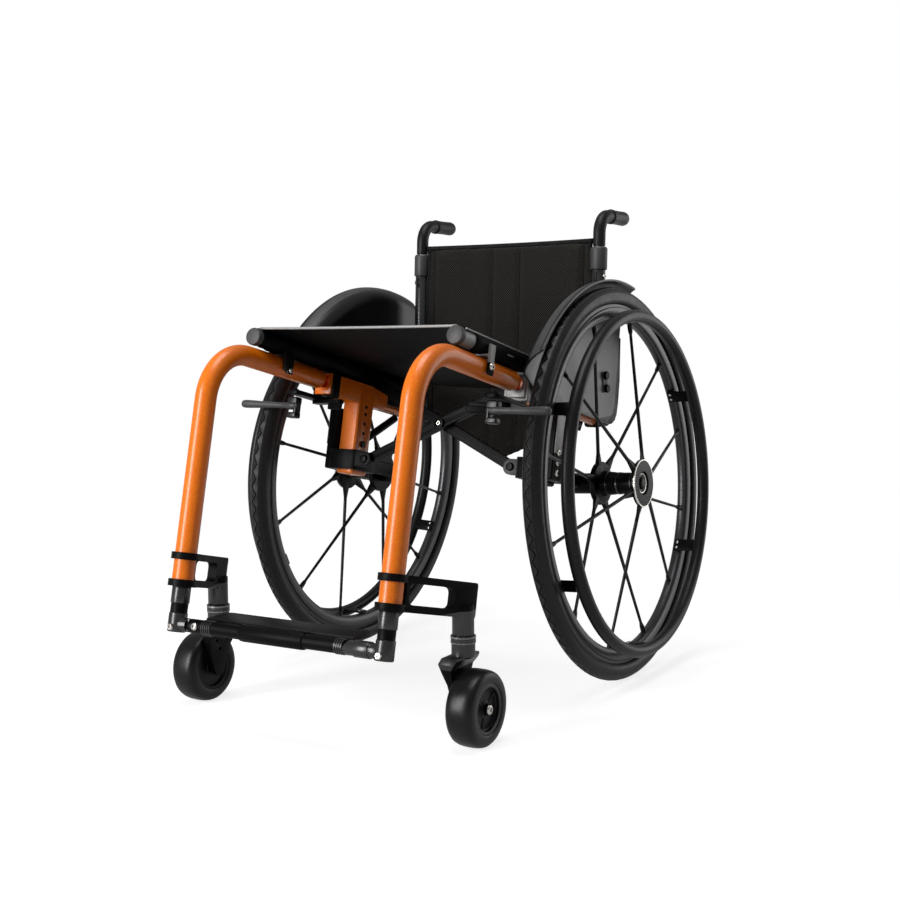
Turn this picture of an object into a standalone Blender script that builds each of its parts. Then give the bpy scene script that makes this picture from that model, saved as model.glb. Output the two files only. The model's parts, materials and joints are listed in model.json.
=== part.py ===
"""A lightweight folding wheelchair with a bent-tube frame, built as separate named pieces.

Metres, +Z up, the user faces -Y, and +X is the user's left. The origin is on the floor,
under the middle of the chair. Every place below is first given from the rear axle, and the
whole chair is then shifted along Y so that its overall box is centred on the origin.
In the side frame, s runs back along the seat tube and h stands square to it.
"""
import math

import bmesh
import bpy
from mathutils import Matrix, Vector

# Fits
GAP = 0.0003
RUNNING_GAP = 0.0005

# Rear wheels: a 24 inch wheel, which sets the scale of everything else
TYRE_OUTER_RADIUS = 0.300
TYRE_HEIGHT = 0.0252
TYRE_INNER_RADIUS = TYRE_OUTER_RADIUS - TYRE_HEIGHT
TYRE_WIDTH = 0.027
WHEEL_X = 0.237
CAMBER = math.radians(3)
WHEEL_Z = TYRE_OUTER_RADIUS * math.cos(CAMBER) + TYRE_WIDTH * 0.17 * math.sin(CAMBER)
WHEEL_STEPS = 40
RIM_OUTER_RADIUS = TYRE_INNER_RADIUS - GAP
RIM_DEPTH = 0.023
RIM_INNER_RADIUS = RIM_OUTER_RADIUS - RIM_DEPTH
RIM_WIDTH = 0.020
HANDRIM_OVERLAP = 0.0025
HANDRIM_RADIUS = RIM_INNER_RADIUS + HANDRIM_OVERLAP
HANDRIM_TUBE = 0.0095
HANDRIM_OFFSET = 0.038
HANDRIM_TABS = 6
TAB_PHASE = 30.0
TAB_WIDTH = 0.020
TAB_THICKNESS = 0.003
TAB_START = -0.003
SPOKES = 12
SPOKE_PHASE = 15.0
SPOKE_RADIUS = 0.003
SPOKE_FOOT_RADIUS = 0.024
OUTER_FLANGE_OFFSET = 0.0375
OUTER_FLANGE_THICKNESS = 0.0065
OUTER_FLANGE_RADIUS = 0.0365
INNER_FLANGE_OFFSET = 0.0315
INNER_FLANGE_THICKNESS = 0.009
INNER_FLANGE_RADIUS = 0.0335
HUB_DISH_RADIUS = 0.0165
HUB_DISH_DEPTH = 0.004
BARREL_OUTER_RADIUS = 0.0165
BARREL_INNER_RADIUS = 0.019
AXLE_RADIUS = 0.006
AXLE_LENGTH = 0.0505
BUTTON_RADIUS = 0.009
BUTTON_LENGTH = 0.0075
BUTTON_PROUD = 0.003
BUTTON_TRAVEL = 0.0025

# Casters
CASTER_X = 0.230
CASTER_Y = -0.428
CASTER_RADIUS = 0.0505
CASTER_WIDTH = 0.040
CASTER_HUB_RADIUS = 0.033
CASTER_STEPS = 22
CASTER_AXLE_RADIUS = 0.0045
CASTER_BOLT_RADIUS = 0.008
STEM_X = 0.207
STEM_Y = -0.421
STEM_RADIUS = 0.0145
STEM_BOTTOM = 0.142
STEM_PIN_RADIUS = 0.006
STEM_PIN_TOP = 0.158
CROWN_RADIUS = 0.0165
CROWN_BAND = 0.009
CROWN_BOTTOM = 0.1125
FORK_ARM_X = 0.204
FORK_ARM_THICKNESS = 0.008
FORK_EYE_RADIUS = 0.0115

# Side frame: one bent tube and the beam behind it, tipped back by the seat slope
SEAT_SLOPE = math.radians(12.5)
CORNER_Y = -0.4634
CORNER_RISE = 0.2165
CORNER_Z = TYRE_OUTER_RADIUS + CORNER_RISE
FRAME_X = 0.170
TUBE_RADIUS = 0.015
BEND_RADIUS = 0.0755
LEG_END_Z = 0.190905
LEG_LENGTH = (CORNER_Z - LEG_END_Z) / math.cos(SEAT_SLOPE)
FRONT_TUBE_END = 0.255
SPIGOT_SHARE = 0.66
SPIGOT_LENGTH = 0.024
BEAM_START = 0.262
BEAM_END = 0.4215
BEAM_HEIGHT = 0.033
BEAM_DROP = 0.0045
BEAM_WIDTH = 0.030
POST_S = 0.362
POST_DEPTH = 0.042
POST_WIDTH = 0.031
POST_BOTTOM = -0.134
POST_HOLES = 4
POST_HOLE_TOP = -0.036
POST_HOLE_PITCH = 0.0155
POST_HOLE_RADIUS = 0.0028
REAR_BAR_RADIUS = 0.0065
REAR_BAR_DROP = 0.0125
STRUT_RADIUS = 0.0065
STRUT_FOOT_H = -0.075
STRUT_HEAD_S = 0.470
CLAMP_S = 0.2725
CLAMP_WIDTH = 0.017
CLAMP_WALL = 0.004
CLAMP_LUG = 0.0019

# Leg ends and footrest
SLEEVE_RADIUS = 0.0128
SLEEVE_BAND_RADIUS = 0.0118
SLEEVE_LENGTH = 0.063
SLEEVE_END = LEG_LENGTH + SLEEVE_LENGTH
SLEEVE_BAND_START = 0.024
SLEEVE_BAND_WIDTH = 0.013
FOOT_BAR_UP = 0.011
FOOT_BAR_RADIUS = 0.0095
FOOT_SLEEVE_RADIUS = 0.0110
FOOT_SLEEVE_ENDS = (-0.065, 0.043)
FOOT_STUB_RADIUS = 0.0098
FOOT_HINGE_X = 0.136
FOOT_JOINT_X = 0.112
FOOT_SCARF = math.radians(30)
HINGE_PIN_RADIUS = 0.0030
TONGUE_THICKNESS = 0.008
TONGUE_RADIUS = 0.0085
PLATE_ENDS = (-0.128, 0.116)
PLATE_BACK_Y = -0.490
PLATE_THICKNESS = 0.006
PLATE_RISE = 0.0075

# Caster bracket
BRACKET_ABOVE_END = 0.0035
BRACKET_SPACING = 0.0365
BRACKET_LOWER = LEG_LENGTH - BRACKET_ABOVE_END
BRACKET_UPPER = BRACKET_LOWER - BRACKET_SPACING
BRACKET_BAND = 0.0096
BRACKET_RING_RADIUS = 0.0195
BRACKET_THICKNESS = 0.014
BRACKET_BLOCK = 0.036

# Cross brace and seat
PIVOT_X = 0.128
PIVOT_H = -0.111
FRONT_ARM_S = 0.346
REAR_ARM_S = 0.358
ARM_WIDTH = 0.016
ARM_THICKNESS = 0.010
BRACE_BOLT_RADIUS = 0.004
RAIL_X = 0.170
RAIL_H = 0.0310
RAIL_RADIUS = 0.0120
RAIL_CAP_RADIUS = 0.0128
RAIL_START = 0.0816
RAIL_END = 0.488
SLING_START = 0.0925
SLING_END = 0.482
SLING_THICKNESS = 0.0022
SLING_SAG = 0.012
SADDLE_S = 0.153
SADDLE_WIDTH = 0.014
SADDLE_WALL = 0.0038
SADDLE_REACH = 0.0163

# Axle block
BLOCK_TOP = -0.097
BLOCK_BOTTOM = -0.128
BLOCK_INNER_X = 0.1435
BLOCK_OUTER_X = 0.1955
BLOCK_FRONT = 0.330
BLOCK_BACK = 0.394
EAR_RADIUS = 0.012
EAR_THICKNESS = 0.008
ARM_H = -0.1125
ARM_BAR_HEIGHT = 0.022
RECEIVER_RADIUS = 0.016
RECEIVER_ENDS = (-0.085, -0.0365)

# Wheel lock
LOCK_PLATE = 0.006
LOCK_PLATE_X = 0.171
LOCK_PLATE_WIDTH = 0.022
LOCK_SHOE_X = 0.173
LOCK_SHOE_BEHIND = 0.000725
LOCK_PLATE_LEAD = 0.010
LOCK_PLATE_END = 0.285
LOCK_BAR_H = -0.0505
LOCK_BAR_RADIUS = 0.0062
LOCK_BAR_TIP_X = 0.266
LOCK_BAR_LEAD = 0.0092
LOCK_LEVER_X = 0.165
LOCK_LEVER_S = 0.247
LOCK_LEVER_TIP_X = 0.116
LOCK_LEVER_THICKNESS = 0.005

# Side guard
GUARD_CLEARANCE = 0.0115
GUARD_RADIUS = TYRE_OUTER_RADIUS + GUARD_CLEARANCE
GUARD_INNER_RADIUS = 0.088
GUARD_X = 0.1935
GUARD_LIP_X = 0.226
GUARD_ROLL = 0.028
GUARD_THICKNESS = 0.0028
GUARD_FRONT_ANGLE = 143.0
GUARD_REAR_ANGLE = 42.0
GUARD_REAR_Y = 0.094
GUARD_TRIM_H = -0.015
GUARD_LUG_RADIUS = 0.006
GUARD_LUG_H = -0.003

# Back
CANE_X = 0.1665
CANE_Y = 0.0745
CANE_RADIUS = 0.0110
CANE_BOTTOM = TYRE_OUTER_RADIUS + 0.088
CANE_LENGTH = 0.260
CANE_TOP = CANE_BOTTOM + CANE_LENGTH
CANE_LEAN = math.radians(3)
CANE_BORE_DEPTH = 0.075
FOOT_Z = CANE_BOTTOM + 0.018
FOOT_Y = 0.068
FOOT_SIZE = (0.026, 0.046, 0.050)
COLLAR_RADIUS = 0.0135
COLLAR_BELOW = 0.017
COLLAR_ABOVE = 0.019
HANDLE_RADIUS = 0.0082
HANDLE_BEND = 0.030
HANDLE_RISE = 0.0695
HANDLE_TOP = CANE_TOP + HANDLE_RISE
HANDLE_END_Y = 0.173
HANDLE_INSERT = 0.070
GRIP_START_Y = 0.115
GRIP_END_Y = 0.180
GRIP_RADIUS = 0.0108
BACK_RISE = 0.032
BACK_TOP = CANE_TOP + BACK_RISE
BACK_THICKNESS = 0.011
BACK_BOW = 0.016

for old in list(bpy.data.objects):
    bpy.data.objects.remove(old, do_unlink=True)

chair = bpy.data.collections.new("lightweight_wheelchair")
cutters = bpy.data.collections.new("cutters")
bpy.context.scene.collection.children.link(chair)
bpy.context.scene.collection.children.link(cutters)


def make_material(name, colour, roughness, metallic):
    found = bpy.data.materials.new(name)
    found.use_nodes = True
    shader = found.node_tree.nodes["Principled BSDF"]
    shader.inputs["Base Color"].default_value = (*colour, 1.0)
    shader.inputs["Roughness"].default_value = roughness
    shader.inputs["Metallic"].default_value = metallic
    found.diffuse_color = (*colour, 1.0)
    return found


FINISHES = {
    "orange": ((0.73, 0.19, 0.012), 0.32, 0.35),
    "black": ((0.012, 0.012, 0.013), 0.45, 0.0),
    "dark": ((0.045, 0.045, 0.048), 0.40, 0.3),
    "rubber": ((0.020, 0.020, 0.021), 0.75, 0.0),
    "steel": ((0.60, 0.60, 0.60), 0.30, 1.0),
    "fabric": ((0.015, 0.015, 0.016), 0.90, 0.0),
}


def along(s, h):
    """The (y, z) place of a point s behind the frame's corner and h above the seat line."""
    y = CORNER_Y + math.cos(SEAT_SLOPE) * s + math.sin(SEAT_SLOPE) * h
    z = CORNER_Z - math.sin(SEAT_SLOPE) * s + math.cos(SEAT_SLOPE) * h
    return y, z


def at(x, s, h):
    """A point in the tipped frame, from the rear axle."""
    return Vector((x, *along(s, h)))


def on_axle(sign, offset):
    """A point on a leaning wheel's axle line, measured outward from the wheel's middle."""
    across = WHEEL_X + math.cos(CAMBER) * offset
    return Vector((sign * across, 0, WHEEL_Z + math.sin(CAMBER) * offset))


def basis(x_to, y_to):
    """The turn that lays local X and Y along two directions."""
    x_axis = Vector(x_to).normalized()
    y_axis = Vector(y_to).normalized()
    turn = Matrix((x_axis, y_axis, x_axis.cross(y_axis))).transposed()
    return turn.to_euler()


SIDEWAYS = Vector((1, 0, 0))
BACKWARD = Vector((0, math.cos(SEAT_SLOPE), -math.sin(SEAT_SLOPE)))
UPWARD = Vector((0, math.sin(SEAT_SLOPE), math.cos(SEAT_SLOPE)))
SIDE_VIEW = basis(BACKWARD, UPWARD)
FRONT_VIEW = basis(SIDEWAYS, UPWARD)
TOP_VIEW = basis(SIDEWAYS, BACKWARD)
LEVEL_SIDE_VIEW = basis((0, 1, 0), (0, 0, 1))
LEVEL_FRONT_VIEW = basis((1, 0, 0), (0, 0, 1))
LEG_TURN = (-SEAT_SLOPE, 0, 0)
CANE_TURN = (-CANE_LEAN, 0, 0)

FOOT_BAR_H = -(SLEEVE_END - FOOT_BAR_UP)
FRONT_Y = along(0, -SLEEVE_END)[0] - SLEEVE_RADIUS * math.cos(SEAT_SLOPE)
SHIFT_Y = -(FRONT_Y + TYRE_OUTER_RADIUS) / 2
AXLE_S = -CORNER_Y * math.cos(SEAT_SLOPE) - (WHEEL_Z - CORNER_Z) * math.sin(SEAT_SLOPE)
AXLE_H = -CORNER_Y * math.sin(SEAT_SLOPE) + (WHEEL_Z - CORNER_Z) * math.cos(SEAT_SLOPE)
LOCK_SHOE_S = AXLE_S - TYRE_OUTER_RADIUS + LOCK_SHOE_BEHIND
LOCK_BAR_TIP_S = LOCK_SHOE_S - LOCK_BAR_LEAD
BEAM_TOP = BEAM_HEIGHT / 2 - BEAM_DROP
BEAM_BOTTOM = -BEAM_HEIGHT / 2 - BEAM_DROP
BRACE_ANGLE = math.atan2(RAIL_H - PIVOT_H, RAIL_X + PIVOT_X)
BRACE_LENGTH = math.hypot(RAIL_H - PIVOT_H, RAIL_X + PIVOT_X)
BRACE_CENTRE = PIVOT_X / math.cos(BRACE_ANGLE)
LOCK_PLATE_TOP = BEAM_BOTTOM - GAP * 2 - CLAMP_WALL - CLAMP_LUG
LOCK_PLATE_H = LOCK_PLATE_TOP - LOCK_PLATE / 2
LOCK_LEVER_H = LOCK_PLATE_TOP - LOCK_PLATE - RUNNING_GAP * 2 - LOCK_LEVER_THICKNESS / 2
LOCK_SHOE_TOP = LOCK_PLATE_TOP - LOCK_PLATE - RUNNING_GAP
FOOT_FRONT_Y = FOOT_Y - FOOT_SIZE[1] / 2

origin = bpy.data.objects.new("axle_line", None)
origin.location = (0, SHIFT_Y, 0)
chair.objects.link(origin)


def place_of(empty):
    """Where an empty stands, from the rear axle."""
    place = Vector((0, 0, 0))
    while empty is not origin:
        place += empty.location
        empty = empty.parent
    return place


def body_empty(name, place, parent=None):
    """An empty on a joint's axis, which the pieces of one moving body hang from."""
    empty = bpy.data.objects.new(name, None)
    empty.empty_display_size = 0.03
    empty.parent = parent or origin
    empty.location = Vector(place) - place_of(empty.parent)
    chair.objects.link(empty)
    return empty


def settle(obj, name, finish, body, smooth=35):
    """Name a finished piece, colour it, and hang it from its body where it stands."""
    obj.name = name
    obj.data.name = name
    obj.location = obj.location - place_of(body)
    obj.parent = body
    colour, roughness, metallic = FINISHES[finish]
    obj.data.materials.clear()
    obj.data.materials.append(make_material(name, colour, roughness, metallic))
    if obj.type == "MESH" and len(obj.data.polygons):
        obj.data.shade_smooth()
        obj.data.set_sharp_from_angle(angle=math.radians(smooth))
    return obj


def mesh_object(name, mesh):
    obj = bpy.data.objects.new(name, mesh)
    chair.objects.link(obj)
    return obj


def from_bmesh(name, made):
    mesh = bpy.data.meshes.new(name)
    made.to_mesh(mesh)
    made.free()
    return mesh_object(name, mesh)


def placed(obj, place, turn=(0, 0, 0)):
    obj.location = place
    obj.rotation_euler = turn
    return obj


def turned(name, profile, steps, place, turn=(0, 0, 0), closed=True):
    """A profile of (radius, height) turned about Z; it runs down its outer side."""
    mesh = bpy.data.meshes.new(name)
    edges = [(i, i + 1) for i in range(len(profile) - 1)]
    if closed:
        edges.append((len(profile) - 1, 0))
    mesh.from_pydata([(radius, 0, height) for radius, height in profile], edges, [])
    obj = mesh_object(name, mesh)
    screw = obj.modifiers.new("turn", "SCREW")
    screw.axis = "Z"
    screw.angle = math.tau
    screw.steps = steps
    screw.render_steps = steps
    screw.use_merge_vertices = True
    screw.merge_threshold = 0.00001
    return placed(obj, place, turn)


def arc(centre, radius, start, end, count):
    """Points on an arc in a plane, from start to end in degrees."""
    turns = [math.radians(start + (end - start) * i / count) for i in range(count + 1)]
    return [(centre[0] + radius * math.cos(t), centre[1] + radius * math.sin(t)) for t in turns]


def rounded(width, height, radius, centre=(0, 0), count=2):
    """A rectangle with round corners."""
    points = []
    for i, (dx, dy) in enumerate(((1, 1), (-1, 1), (-1, -1), (1, -1))):
        corner_x = centre[0] + dx * (width / 2 - radius)
        corner_y = centre[1] + dy * (height / 2 - radius)
        points += arc((corner_x, corner_y), radius, i * 90, i * 90 + 90, count)
    return points


def tapered(start, start_radius, end, end_radius, count=6):
    """A bar outline with a round end at each of two points."""
    heading = math.degrees(math.atan2(end[1] - start[1], end[0] - start[0]))
    reach = math.dist(start, end)
    lean = math.degrees(math.acos((start_radius - end_radius) / reach))
    front = arc(end, end_radius, heading - lean, heading + lean, count)
    back = arc(start, start_radius, heading + lean, heading + 360 - lean, count)
    return front + back


def bent_path(corners, radii, steps=6):
    """Points along straight runs joined by round bends, one radius for each inner corner."""
    path = [Vector(corners[0])]
    for before, corner, after, radius in zip(corners, corners[1:], corners[2:], radii):
        a = (Vector(before) - Vector(corner)).normalized()
        b = (Vector(after) - Vector(corner)).normalized()
        half = a.angle(b) / 2
        centre = Vector(corner) + (a + b).normalized() * (radius / math.sin(half))
        start = Vector(corner) + a * (radius / math.tan(half)) - centre
        axis = start.cross(Vector(corner) + b * (radius / math.tan(half)) - centre)
        sweep = math.pi - 2 * half
        path += [
            centre + Matrix.Rotation(sweep * i / steps, 3, axis) @ start
            for i in range(steps + 1)
        ]
    path.append(Vector(corners[-1]))
    return path


def tube(name, path, radius, resolution=3, scale=None):
    """A round bar along a path; scale gives a share of the radius at each point."""
    curve = bpy.data.curves.new(name, "CURVE")
    curve.dimensions = "3D"
    curve.bevel_depth = radius
    curve.bevel_resolution = resolution
    curve.use_fill_caps = True
    spline = curve.splines.new("POLY")
    spline.points.add(len(path) - 1)
    for i, (point, place) in enumerate(zip(spline.points, path)):
        point.co = (*place, 1)
        point.radius = 1 if scale is None else scale[i]
    return mesh_object(name, curve)


def outline(name, points, thickness, place, turn=(0, 0, 0), holes=()):
    """A flat outline, given thickness evenly to both sides of its plane."""
    curve = bpy.data.curves.new(name, "CURVE")
    curve.dimensions = "2D"
    curve.fill_mode = "BOTH"
    curve.extrude = thickness / 2
    for loop in (points, *holes):
        spline = curve.splines.new("POLY")
        spline.points.add(len(loop) - 1)
        for point, (x, y) in zip(spline.points, loop):
            point.co = (x, y, 0, 1)
        spline.use_cyclic_u = True
    return placed(mesh_object(name, curve), place, turn)


def as_mesh(obj):
    """Turn a curve into a welded mesh, in its own place."""
    bpy.context.view_layer.update()
    graph = bpy.context.evaluated_depsgraph_get()
    mesh = bpy.data.meshes.new_from_object(obj.evaluated_get(graph))
    made = bmesh.new()
    made.from_mesh(mesh)
    bmesh.ops.remove_doubles(made, verts=made.verts, dist=0.00001)
    bmesh.ops.recalc_face_normals(made, faces=made.faces)
    made.to_mesh(mesh)
    made.free()
    new = mesh_object(obj.name, mesh)
    new.location = obj.location
    new.rotation_euler = obj.rotation_euler
    bpy.data.objects.remove(obj, do_unlink=True)
    return new


def solid(name, points, thickness, place, turn=(0, 0, 0), holes=()):
    """A flat outline as a mesh, which other solids can be joined to or cut from."""
    return as_mesh(outline(name, points, thickness, place, turn, holes))


def eased(obj, width, segments=2, angle=50):
    """Round the sharp edges of a solid."""
    bevel = obj.modifiers.new("edges", "BEVEL")
    bevel.width = width
    bevel.segments = segments
    bevel.limit_method = "ANGLE"
    bevel.angle_limit = math.radians(angle)
    return obj


def block(name, size, place, turn=(0, 0, 0)):
    """A box with its turn."""
    made = bmesh.new()
    bmesh.ops.create_cube(made, size=1.0)
    bmesh.ops.scale(made, vec=size, verts=made.verts)
    return placed(from_bmesh(name, made), place, turn)


def rods(name, ends, radius, sides=8):
    """Several round rods in one solid or cutter, each from one point to another."""
    made = bmesh.new()
    for start, end in ends:
        run = Vector(end) - Vector(start)
        turn = run.to_track_quat("Z", "Y").to_matrix().to_4x4()
        middle = (Vector(start) + Vector(end)) / 2
        bmesh.ops.create_cone(
            made,
            cap_ends=True,
            segments=sides,
            radius1=radius,
            radius2=radius,
            depth=run.length,
            matrix=Matrix.Translation(middle) @ turn,
        )
    return from_bmesh(name, made)


def combine(base, tools, operation="UNION"):
    """Join other solids to a base solid, or cut them from it, with one live step each."""
    for tool in tools:
        for home in list(tool.users_collection):
            home.objects.unlink(tool)
        cutters.objects.link(tool)
        tool.hide_render = True
        tool.display_type = "WIRE"
        step = base.modifiers.new(operation.lower(), "BOOLEAN")
        step.operation = operation
        step.solver = "EXACT"
        step.object = tool
    return base


def mirrored_profile(half):
    """A wheel section given on its outer half, completed on its inner half."""
    return half + [(radius, -height) for radius, height in reversed(half)]


def front_tube(name, sign, body):
    """Leg, bend and seat tube in one piece, with a spigot that enters the beam."""
    x = sign * FRAME_X
    path = bent_path(
        [at(x, 0, -LEG_LENGTH), at(x, 0, 0), at(x, FRONT_TUBE_END - 0.008, 0)],
        [BEND_RADIUS],
        steps=7,
    )
    scale = [1] * len(path)
    for back, share in ((0.003, 0.93), (0.0008, 0.80), (0, SPIGOT_SHARE)):
        path.append(at(x, FRONT_TUBE_END - back, 0))
        scale.append(share)
    path.append(at(x, FRONT_TUBE_END + SPIGOT_LENGTH, 0))
    scale.append(SPIGOT_SHARE)
    settle(tube(name, path, TUBE_RADIUS, 4, scale), name, "orange", body)


def side_frame(name, sign, body):
    """Beam, post and rear bar, welded: the beam carries on from the front tube."""
    x = sign * FRAME_X
    end = BEAM_HEIGHT / 2 - 0.003
    side = [
        (BEAM_START, BEAM_TOP),
        (BEAM_START, BEAM_BOTTOM),
        *arc((BEAM_END - end, BEAM_BOTTOM + end), end, -90, 0, 4),
        *arc((BEAM_END - end, BEAM_TOP - end), end, 0, 90, 4),
    ]
    beam = eased(solid(name, side, BEAM_WIDTH, (x, CORNER_Y, CORNER_Z), SIDE_VIEW), 0.004)
    post_height = BEAM_TOP - 0.006 - POST_BOTTOM
    post_middle = at(x, POST_S, POST_BOTTOM + post_height / 2)
    post = block(name + "_post", (POST_WIDTH, POST_DEPTH, post_height), post_middle, LEG_TURN)
    eased(post, 0.0025, 1)
    tip = FOOT_FRONT_Y - GAP - REAR_BAR_RADIUS * math.sin(SEAT_SLOPE)
    bar_end = (tip - along(0, -REAR_BAR_DROP)[0]) / math.cos(SEAT_SLOPE)
    bar_ends = (at(x, BEAM_END - 0.02, -REAR_BAR_DROP), at(x, bar_end, -REAR_BAR_DROP))
    bar = rods(name + "_rear_bar", [bar_ends], REAR_BAR_RADIUS, 12)
    combine(beam, [post, bar])
    face = FRAME_X - POST_WIDTH / 2
    holes = []
    for i in range(POST_HOLES):
        h = POST_HOLE_TOP - i * POST_HOLE_PITCH
        holes.append((at(sign * (face - 0.002), POST_S, h), at(sign * (face + 0.004), POST_S, h)))
    bore_ends = (at(x, BEAM_START - 0.002, 0), at(x, FRONT_TUBE_END + SPIGOT_LENGTH + 0.001, 0))
    bore = rods(name + "_bore", [bore_ends], TUBE_RADIUS * SPIGOT_SHARE + GAP * 2, 16)
    hole_tool = rods(name + "_holes", holes, POST_HOLE_RADIUS)
    combine(beam, [hole_tool, bore], "DIFFERENCE")
    settle(beam, name, "orange", body)


def frame_strut(name, sign, body):
    """A black diagonal from the post up to the rear bar."""
    x = sign * FRAME_X
    post_back = POST_S + POST_DEPTH / 2
    bar_bottom = -REAR_BAR_DROP - REAR_BAR_RADIUS
    lean = math.atan2(bar_bottom - STRUT_FOOT_H, STRUT_HEAD_S - post_back)
    start = (post_back + STRUT_RADIUS * math.sin(lean) + GAP, STRUT_FOOT_H)
    end = (STRUT_HEAD_S, bar_bottom - STRUT_RADIUS * math.cos(lean) - GAP)
    strut = tube(name, [at(x, *start), at(x, *end)], STRUT_RADIUS, 3)
    settle(strut, name, "black", body)


def tube_clamp(name, sign, body):
    """A strap round the joint of tube and beam, with a lug below for the wheel lock."""
    half = BEAM_WIDTH / 2 + GAP + CLAMP_WALL
    top = BEAM_TOP + GAP + CLAMP_WALL
    bottom = BEAM_BOTTOM - GAP - CLAMP_WALL
    lug = LOCK_PLATE_TOP + GAP
    strap = [
        *arc((half - CLAMP_WALL, top - CLAMP_WALL), CLAMP_WALL, 0, 90, 3),
        *arc((CLAMP_WALL - half, top - CLAMP_WALL), CLAMP_WALL, 90, 180, 3),
        (-half, bottom),
        (-0.010, bottom),
        (-0.010, lug),
        (0.010, lug),
        (0.010, bottom),
        (half, bottom),
    ]
    across = BEAM_WIDTH / 2 + GAP
    hole = [
        (across, BEAM_TOP + GAP),
        (-across, BEAM_TOP + GAP),
        (-across, BEAM_BOTTOM - GAP),
        (across, BEAM_BOTTOM - GAP),
    ]
    band = outline(name, strap, CLAMP_WIDTH, at(sign * FRAME_X, CLAMP_S, 0), FRONT_VIEW, [hole])
    settle(band, name, "black", body)


def seat_saddle(name, sign, body):
    """A clip on the seat tube that holds the seat rail when the chair is open."""
    seat_top = RAIL_H - RAIL_RADIUS - GAP
    seat_bottom = TUBE_RADIUS + GAP
    outer = SADDLE_REACH + SADDLE_WALL
    hook = [
        (-0.010, seat_bottom),
        (SADDLE_REACH, seat_bottom),
        (SADDLE_REACH, -0.010),
        (outer, -0.010),
        (outer, RAIL_H + 0.001),
        (SADDLE_REACH, RAIL_H + 0.001),
        (SADDLE_REACH, seat_top),
        (-0.010, seat_top),
    ]
    hook = [(sign * across, up) for across, up in hook]
    clip = solid(name, hook, SADDLE_WIDTH, at(sign * FRAME_X, SADDLE_S, 0), FRONT_VIEW)
    bolt_x = FRAME_X + outer
    bolt_ends = (at(sign * (bolt_x - 0.002), SADDLE_S, 0.001), at(sign * (bolt_x + 0.0022), SADDLE_S, 0.001))
    combine(clip, [rods(name + "_bolt", [bolt_ends], 0.0045, 10)])
    settle(clip, name, "black", body)


def caster_bracket(name, sign, body):
    """Two rings on the leg carry a windowed plate with the swivel barrel at its end."""
    x = sign * FRAME_X
    level = -(BRACKET_UPPER + BRACKET_LOWER) / 2
    stem_s = (STEM_Y - along(0, level)[0]) / math.cos(SEAT_SLOPE)
    reach = math.hypot(STEM_X - FRAME_X, stem_s)
    heading = SIDEWAYS * sign * (STEM_X - FRAME_X) + BACKWARD * stem_s
    height = BRACKET_LOWER - BRACKET_UPPER + BRACKET_BAND
    start = BRACKET_RING_RADIUS - 0.002
    end = reach + BRACKET_BLOCK / 2
    window_start = BRACKET_RING_RADIUS + 0.004
    window_end = reach - BRACKET_BLOCK / 2 - 0.002
    plate = solid(
        name,
        rounded(end - start, height, 0.003, ((start + end) / 2, 0), 2),
        BRACKET_THICKNESS,
        at(x, 0, level),
        basis(heading, UPWARD),
        [
            rounded(
                window_end - window_start,
                height - BRACKET_BAND * 2,
                0.007,
                ((window_start + window_end) / 2, 0),
                3,
            )
        ],
    )
    half = BRACKET_BAND / 2
    ring = [
        (TUBE_RADIUS + GAP, half),
        (BRACKET_RING_RADIUS, half),
        (BRACKET_RING_RADIUS, -half),
        (TUBE_RADIUS + GAP, -half),
    ]
    rings = [
        turned(f"{name}_ring_{which}", ring, 16, at(x, 0, -up), LEG_TURN)
        for which, up in (("upper", BRACKET_UPPER), ("lower", BRACKET_LOWER))
    ]
    stem = Vector((sign * STEM_X, STEM_Y, 0))
    top = Vector((0, 0, along(stem_s, -BRACKET_LOWER)[1] + 0.012))
    bottom = Vector((0, 0, STEM_BOTTOM))
    barrel = rods(name + "_barrel", [(stem + bottom, stem + top)], STEM_RADIUS, 16)
    combine(plate, [*rings, barrel])
    bore_top = Vector((0, 0, STEM_PIN_TOP + 0.002))
    bore_start = stem + bottom - Vector((0, 0, 0.002))
    bore = rods(name + "_bore", [(bore_start, stem + bore_top)], STEM_PIN_RADIUS + GAP, 12)
    combine(plate, [bore], "DIFFERENCE")
    settle(plate, name, "black", body)


def scarf_cutter(name, x, side):
    """A box whose slanted face is the footrest's joint; side 1 lies on its +X side."""
    size = 0.08
    across = SIDEWAYS * math.cos(FOOT_SCARF) - UPWARD * math.sin(FOOT_SCARF)
    slant = UPWARD * math.cos(FOOT_SCARF) + SIDEWAYS * math.sin(FOOT_SCARF)
    middle = at(x, 0, FOOT_BAR_H) + across * side * size / 2
    return block(name, (size, size, size), middle, basis(across, slant))


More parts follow.
